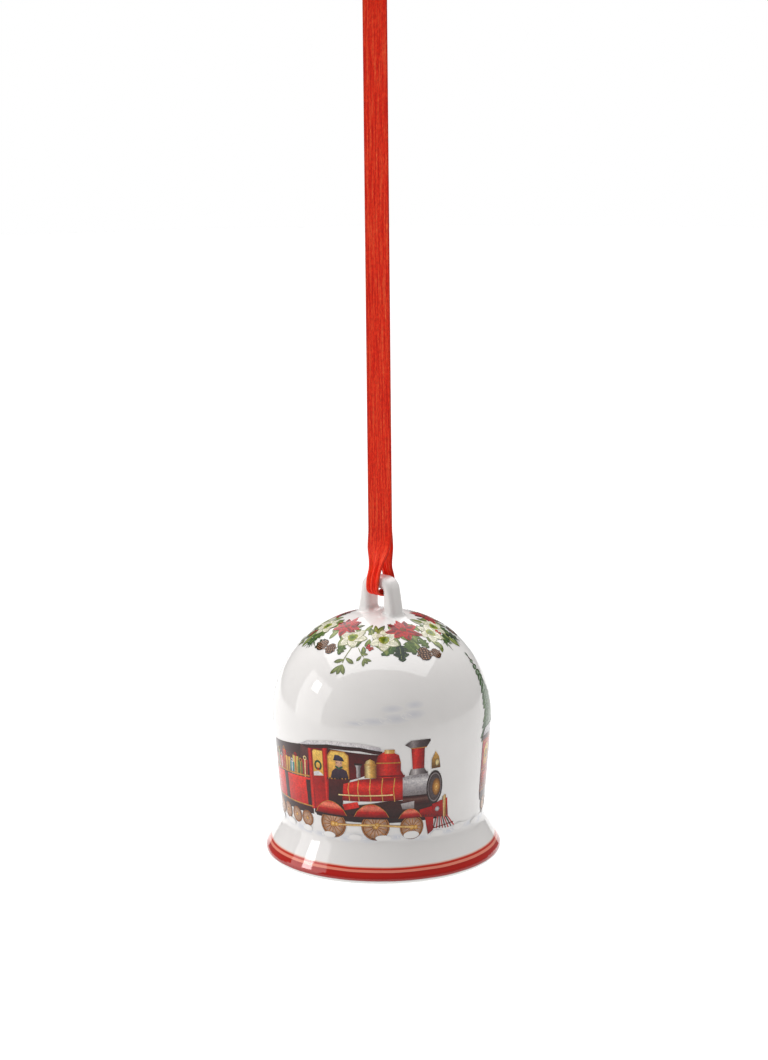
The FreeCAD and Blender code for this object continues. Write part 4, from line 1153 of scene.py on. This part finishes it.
stroke(train, waist, [(-14.5, 26), (-8, 26.5)], 0.35, SOOT, 6.2)
print("cab drawn:", len(train.faces), "faces so far")

# %% Engine: boiler and what stands on it
barrel(train, [(-10, 25), (-5.5, 26.5), (-1.5, 27), (5, 27), (5, 21), (-10.5, 20.5)], 5.4)
for u, high in ((-8.5, 25.5), (-6, 26.5), (-3, 27), (0, 27), (3, 27)):
    stroke(train, waist, [(u, 20.7), (u - 0.35, 23.8), (u, high)], 0.22, BRASS, 6.2)
barrel(train, [(5, 27), (11.5, 28), (12.5, 22), (5, 22)], 5.6, dark=STEEL,
       body=ink(176, 172, 176), light=ink(226, 224, 226))
barrel(train, [(5, 22), (12.5, 22), (12.5, 19), (5, 20)], 5.7, dark=SOOT, body=MAROON,
       light=ink(112, 74, 66))
for k in range(8):
    disc(train, shifted(5.5 + 0.85 * k, 26.5 + 0.09 * k), 0.14, STEEL, SOOT, 6.2, spokes=6)
    disc(train, shifted(5.5 + 0.85 * k, 22.8), 0.12, STEEL, SOOT, 6.2, spokes=6)
disc(train, shifted(13.5, 23.5), 4.4, ink(92, 80, 82), SOOT, 6.4, flatten=0.52, spokes=30)
hoop(train, shifted(13.5, 23.5), 3.7, 0.35, STEEL, 6.8, flatten=0.5)
disc(train, shifted(14, 23.5), 2.3, GOLD, ink(110, 70, 36), 7.0, flatten=0.52, spokes=20,
     light=PALE_BRASS)
disc(train, shifted(14, 23.5), 0.7, BRASS, GOLD, 7.4, flatten=0.6, light=PALE_BRASS)
post(train, [(-7, 30.5), (-5, 30.5), (-5.5, 29.5), (-5.5, 27), (-6.5, 27), (-6.5, 29.5)], 6,
     dark=SOOT,
     body=STEEL, light=PALE_STEEL)
stroke(train, waist, [(-7, 30.5), (-5, 30.5)], 0.5, SOOT, 6.5)
post(train, [(-4.5, 27), (-4.5, 30.5), (-4, 31.5), (-3, 32), (-2, 31.5), (-1.5, 30.5),
             (-1.5, 27)], 6, dark=ink(120, 70, 30), body=BRASS, light=PALE_BRASS)
stroke(train, waist, [(-4.5, 30.5), (-1.5, 30.5)], 0.22, GOLD, 6.4)
post(train, [(-1.5, 27), (-1.5, 31.5), (-1, 33), (0.5, 34), (3, 33.5), (4, 33),
             (4.5, 31), (4.5, 29), (5.5, 27)], 6.2)
post(train, [(0.5, 33.5), (0.5, 34.5), (3, 34.5), (3, 33.5)], 6.5, dark=GOLD, body=BRASS,
     light=PALE_BRASS)
stroke(train, waist, [(-1.5, 31), (4.5, 31)], 0.3, GOLD, 6.7)
stroke(train, waist, [(-1.5, 27.5), (5.5, 27.5)], 0.4, DEEP, 6.7)
post(train, [(6.5, 27.5), (7, 29), (10.5, 29), (11.5, 27.5)], 6.4, dark=SOOT, body=STEEL,
     light=PALE_STEEL)
post(train, [(7.5, 29), (7, 35), (10.5, 35), (10.5, 29)], 6.2)
post(train, [(7, 34.5), (5.5, 35.5), (7, 36.5), (12, 36.5), (12, 36), (11, 34.5)], 6.6,
     dark=SOOT, body=ink(88, 74, 76), light=ink(150, 140, 142))
stroke(train, waist, [(7, 34.5), (11, 34.5)], 0.22, GOLD, 7)
plate(train, [(12.5, 31), (13.5, 33), (14.5, 31.5), (15, 28.5), (12.5, 28.5)], ink(96, 62, 30),
      BRASS, 6.9, 0.5)
disc(train, shifted(14, 30), 1.0, PALE_BRASS, ink(70, 60, 50), 7.2, flatten=0.6)
stroke(train, waist, [(-11.5, 22), (2.5, 22.5)], 0.3, PALE_BRASS, 6.8)
stroke(train, waist, [(-11.5, 22), (2.5, 22)], 0.14, DEEP, 6.7)

# %% Engine: frame, wheels and rods
plate(train, [(-19.5, 18), (-10.5, 19), (2.5, 21), (12.5, 20), (14.5, 18), (14.5, 15),
              (2.5, 15), (-10.5, 15), (-18.5, 15.5)], SOOT, ink(66, 30, 28), 3.4)
for u, v, radius in ((-13.5, 14, 3.7), (-2, 14, 3.7), (7.5, 13.5, 3.2)):
    wheel(train, u, v, radius, 6.4, spokes=14)
plate(train, [(-10.5, 19.5), (-6.5, 20.5), (-6, 19), (-10, 18)], RED, BRIGHT, 6.0)
splasher(train, -18.5, -9.5, 16.5, 20, 7.4)
splasher(train, -7.5, 1.5, 16.5, 20, 7.4)
splasher(train, 4, 10, 16, 18.5, 7.4)
plate(train, [(9.5, 18), (13, 18.5), (13.5, 15.5), (9.5, 16)], DEEP, RED, 7.2)
plate(train, [(4.5, 20), (8, 20.5), (8, 18.5), (5, 18.5)], STEEL, PALE_STEEL, 6.6)
plate(train, [(-19, 17), (-10.5, 17), (9.5, 16.5), (14.5, 16.5), (14.5, 16), (-10.5, 16),
              (-19, 16)], SOOT, MAROON, 7.2)
for line in ([(-12.5, 14), (-1.5, 14.5)], [(-1.5, 14.5), (8.5, 13.5)]):
    stroke(train, waist, line, 0.55, GOLD, 8.0, end_colour=BRASS)
    stroke(train, waist, line, 0.16, PALE_BRASS, 8.2)
for u, v in ((-12.5, 14), (-1.5, 14.5), (8.5, 13.5)):
    disc(train, shifted(u, v), 0.6, BRASS, GOLD, 8.4, spokes=10, light=PALE_BRASS)
plate(train, [(13, 19), (17.5, 20), (18, 15), (13.5, 15.5)], DEEP, RED, 7.4)
post(train, [(16, 20.5), (17, 21), (17.5, 15), (16.5, 15)], 7.8, dark=ink(90, 50, 30),
     body=GOLD, light=PALE_BRASS)
disc(train, shifted(14.5, 17.5), 0.7, PALE_STEEL, STEEL, 7.9, spokes=10, light=SNOW)
plate(train, [(11, 16), (13.5, 15.5), (13.5, 12), (12, 11)], DEEP, RED, 7.0)
for k in range(8):
    stroke(train, waist, [(14.3 + 0.45 * k, 15.4), (13.6 + 0.95 * k, 11.8 + 0.12 * abs(k - 5))],
           0.3,
           RED if k % 2 else MAROON, 7.6)
stroke(train, waist, [(13.5, 12.5), (20, 13)], 0.22, DEEP, 7.9)
print("engine drawn:", len(train.faces), "faces")

# %% Tender with its parcels
plate(train, [(-38, 31), (-38, 29.5), (-29, 30), (-23, 30), (-22.5, 33.5)], MAROON, SOOT, 2.2)
plate(train, [(-38, 31), (-29.5, 31), (-23, 33.5), (-20, 33), (-19.5, 23), (-38.5, 22.5)],
      ink(58, 22, 26), ink(92, 48, 46), 1.6)
plate(train, [(-39.5, 23.5), (-20, 25), (-20, 17.5), (-35.5, 17), (-39, 17)], RED, BRIGHT, 3)
for left, right in ((-39.5, -38.5), (-31.5, -29.5), (-21.5, -20)):
    plate(train, [(left, 24.3), (right, 24.5), (right + 0.3, 17.0), (left + 0.3, 17.0)], SOOT,
          MAROON, 4)
stroke(train, waist, [(-39, 24), (-26.5, 25), (-20, 25.5)], 0.4, GOLD, 5.2)
stroke(train, waist, [(-39, 17), (-19.5, 17.5)], 0.34, GOLD, 5.2)
plate(train, [(-38.5, 17), (-19.5, 17.5), (-19.5, 15.5), (-38, 15)], SOOT, MAROON, 4)
PARCELS = ((-37.2, 2.6, 3.6, RED, GOLD), (-34.9, 2.2, 4.6, ink(60, 116, 96), PALE_BRASS),
           (-33.1, 2.8, 3.4, ink(206, 70, 60), SNOW), (-30.9, 2.2, 5.6, ink(188, 38, 34), GOLD),
           (-29.0, 2.4, 4.2, ink(226, 176, 70), DEEP), (-27.0, 2.0, 3.2, ink(74, 148, 150), SNOW),
           (-25.3, 2.4, 5.0, ink(214, 190, 96), RED), (-23.3, 2.2, 3.9, ink(90, 122, 60), GOLD),
           (-21.6, 1.9, 4.7, ink(178, 52, 50), PALE_BRASS))
for k, (u, wide, tall, paper_ink, tie) in enumerate(PARCELS):
    base = 24.0 + 0.06 * (u + 38)
    box = [(u - wide / 2, base), (u + wide / 2, base), (u + wide / 2 + 0.3, base + tall),
           (u - wide / 2 + 0.3, base + tall)]
    plate(train, box, blend_ink(paper_ink, SOOT, 0.45), paper_ink, 2.6 + 0.15 * (k % 3), 0.7)
    stroke(train, waist, [(u, base), (u + 0.3, base + tall)], 0.32, tie, 3.4)
    hoop(train, shifted(u + 0.3, base + tall + 0.35), 0.45, 0.25, tie, 3.5, steps=12)
for u in (-35.6, -31.2, -26.4, -22.0):
    wheel(train, u, 13.9, 2.1, 4.6, spokes=9)
print("tender drawn with", len(PARCELS), "parcels")

# %% Carriages and firs round the back
def fir(sheet, u, low, high, half, layer, lean=0.0):
    """A snowy fir: tiers of drooping branches, each a fan of blades."""
    stroke(sheet, waist, [(u, low - 1.6), (u + lean, high)], 0.7, ink(84, 60, 44), layer)
    tiers = int((high - low) / 1.5)
    for t in range(tiers):
        share = t / tiers
        reach = half * (1 - share) ** 0.95 + 0.7
        height = low + (high - low) * share + reach * 0.62
        place_angle = math.degrees((u + lean * share) / WAIST_RADIUS)
        for k in range(9):
            turn = 66 * (k / 4 - 1) + chance.uniform(-6, 6)
            place = at(place_angle, height, 180 + turn)
            blade(sheet, place, vary(reach * (0.7 + 0.3 * abs(k / 4 - 1))), 0.5 + 0.3 * reach,
                  ink(74, 110, 60), chance.choice(GREENS), layer + 0.1 + 0.05 * t, steps=4)
            if k % 4 == 1:
                blade(sheet, place, reach * 0.8, 0.4, ink(196, 208, 200), ink(92, 128, 84),
                      layer + 0.4 + 0.05 * t, steps=4)
    blade(sheet, at(math.degrees((u + lean) / WAIST_RADIUS), high, 0), 1.6, 0.8, ink(74, 110, 60),
          GREENS[0],
          layer + 1, steps=4)


def carriage(sheet, u0, paint, edge_ink):
    """One carriage, 30 mm long, starting u0 mm round from the front."""
    def q(*points):
        return [(u0 + u, v) for u, v in points]
    plate(sheet,
          q((0.4, 31.4), (29.6, 31.4), (30.4, 32.2), (28.2, 34.0), (1.8, 34.0), (-0.4, 32.2)),
          MAROON, SOOT, 4.2)
    plate(sheet, q((0.2, 32.7), (29.8, 32.7), (28.4, 34.6), (15, 35.3), (1.6, 34.6)), SNOW_SHADE,
          SNOW, 5)
    plate(sheet, q((0.6, 31.4), (29.4, 31.4), (29.2, 17.4), (0.8, 17.4)), edge_ink, paint, 4)
    for k in range(5):
        left = 2.0 + 5.5 * k
        arch = q((left, 24.4), (left + 4, 24.4), (left + 4, 28.4), (left + 3.3, 29.6),
                 (left + 2, 30.1),
                 (left + 0.7, 29.6), (left, 28.4))
        plate(sheet, arch, WARM_GLOW, GLOW, 5)
        lined(sheet, arch, 5.6, width=0.26)
        hoop(sheet, shifted(u0 + left + 2, 27.2), 0.9, 0.5, ink(44, 78, 46), 5.8)
        disc(sheet, shifted(u0 + left + 2, 26.2), 0.32, RED, DEEP, 6.2, spokes=8)
        plate(sheet, q((left, 22.6), (left + 4, 22.6), (left + 4, 18.9), (left, 18.9)), edge_ink,
              blend_ink(paint, BRIGHT, 0.3), 4.8)
        lined(sheet, q((left, 22.6), (left + 4, 22.6), (left + 4, 18.9), (left, 18.9)), 5.4)
    for v in (30.8, 23.5, 17.9):
        stroke(sheet, waist, q((0.7, v), (29.3, v)), 0.3, GOLD, 5.2)
    plate(sheet, q((0.8, 17.4), (29.2, 17.4), (28.4, 15.2), (1.6, 15.2)), SOOT, MAROON, 4.2)
    for u in (4.6, 9.4, 20.6, 25.4):
        wheel(sheet, u0 + u, 13.9, 2.1, 4.6, spokes=9)


coaches = Sheet("train_carriages")
for start, paint, edge_ink in ((31.2, RED, DEEP), (63.4, ink(46, 96, 62), ink(24, 54, 38)),
                               (95.6, RED, DEEP)):
    carriage(coaches, start, paint, edge_ink)
    stroke(coaches, waist, [(start + 29.6, 16.4), (start + 32.4, 16.4)], 0.6, SOOT, 4)
for u, low, high, half in ((35.5, 31, 52, 5.2), (48, 34, 46, 4), (58, 33, 49, 4.6),
                           (73, 34, 50, 4.8),
                           (86, 34, 45, 3.8), (98, 33, 50, 4.8), (112, 34, 47, 4.2),
                           (124, 32, 51, 5.0)):
    fir(coaches, u, low, high, half, 0.8, lean=chance.uniform(-0.5, 0.5))

# %% Snow below the wheels and smoke above the chimney
def soft_patch(sheet, u, v, wide, tall, tint, layer):
    """A patch of wash that fades into the glaze at its rim."""
    disc(sheet, shifted(u, v), tall, blend_ink(WHITE, tint, 0.55), WHITE, layer,
         flatten=wide / tall,
         spokes=26, light=tint)


washed, tree, shader, place, white = glaze_start("soft_wash")
wash_ink = add(tree, "Attribute", attribute_name="ink").outputs["Color"]
mottled = add(tree, "MixRGB", {"Fac": 0.35, "Color1": wash_ink, "Color2": white})
tree.links.new(mottled.outputs["Color"], shader.inputs["Base Color"])
weather = Sheet("snow_and_smoke", washed)
for k in range(46):
    u = -84.8 + 169.6 * k / 46
    soft_patch(weather, u + chance.uniform(-1, 1), 10.7 + chance.uniform(-0.5, 0.5), vary(3.2),
               vary(1.1),
               ink(196, 200, 214), 0.1 + 0.01 * k)
    if k % 2:
        soft_patch(weather, u, 11.2 + chance.uniform(-0.4, 0.3), vary(1.9), vary(0.9), WHITE,
                   9 + 0.01 * k)
for u, v, wide, tall in ((-6.5, 41.0, 3.4, 0.8), (-2.0, 41.6, 4.4, 1.2), (3.5, 42.2, 4.2, 1.5),
                         (8.0, 43.0, 3.4, 1.4), (8.4, 45.2, 2.8, 1.2), (2.5, 44.6, 3.4, 1.1)):
    soft_patch(weather, u, v, wide, tall, ink(206, 207, 216), 0.2 + 0.02 * (u + 8))
printed = [train.finish(), coaches.finish(), weather.finish()]
print("train printed in", len(printed), "sheets")

# %% [markdown]
# ## Small metal parts and cement
# Inside the bell hang the parts that make it ring: a wire staple held in a dab of cement,
# a jump ring, and a wire clapper with a glazed ball and a crimped ferrule. Drawn wire is
# bright along its length and a little scratched; cement is matt and grainy. Each finish
# takes its unevenness from noise in the piece's own coordinates.

# %% Wire, ferrule, cement and ball
def metal_finish(name, pale, dark, roughness, stretch):
    finish, tree, shader = new_finish(name, Metallic=1.0)
    drawn = add(tree, "Mapping", {"Vector": add(tree, "TexCoord").outputs["Object"],
                                  "Scale": stretch})
    scratch = noise(tree, drawn.outputs["Vector"], 900.0, 4.0)
    rough = add(tree, "MapRange", {"Value": scratch, "To Min": roughness - 0.08,
                                   "To Max": roughness + 0.12})
    tree.links.new(ramp(tree, scratch, (0.3, dark), (0.7, pale)), shader.inputs["Base Color"])
    tree.links.new(rough.outputs["Result"], shader.inputs["Roughness"])
    bump(tree, shader, scratch, 0.3, 0.00002)
    return finish


wire = metal_finish("drawn_steel_wire", (0.62, 0.61, 0.60, 1), (0.42, 0.41, 0.41, 1), 0.26,
                    (1, 1, 0.2))
brass = metal_finish("crimped_brass", (0.80, 0.60, 0.28, 1), (0.58, 0.40, 0.17, 1), 0.3, (1, 1, 1))
cement, tree, shader = new_finish("grainy_cement", Roughness=0.92)
grit = noise(tree, add(tree, "TexCoord").outputs["Object"], 1500.0, 4.0)
tone = ramp(tree, grit, (0.3, (0.46, 0.44, 0.41, 1)), (0.7, (0.68, 0.66, 0.62, 1)))
tree.links.new(tone, shader.inputs["Base Color"])
bump(tree, shader, grit, 0.6, 0.0001)
for name, finish in (("clapper_staple", wire), ("jump_ring", wire), ("clapper_stem", wire),
                     ("clapper_ferrule", brass), ("crown_cement", cement),
                     ("clapper_ball", plain_glaze("glazed_ball"))):
    dress(name, finish)

# %% [markdown]
# ## The dressed size
# The box round everything is measured once more and printed beside the box of the bare
# solids. The dressed bell has to stay inside that box, give or take a little cloth.

# %% Sizes before and after
dressed_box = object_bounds()
for when, (low, high) in (("solids", cad_box), ("dressed", dressed_box)):
    print(when, "measure", [round(side / MM, 1) for side in high - low], "mm")
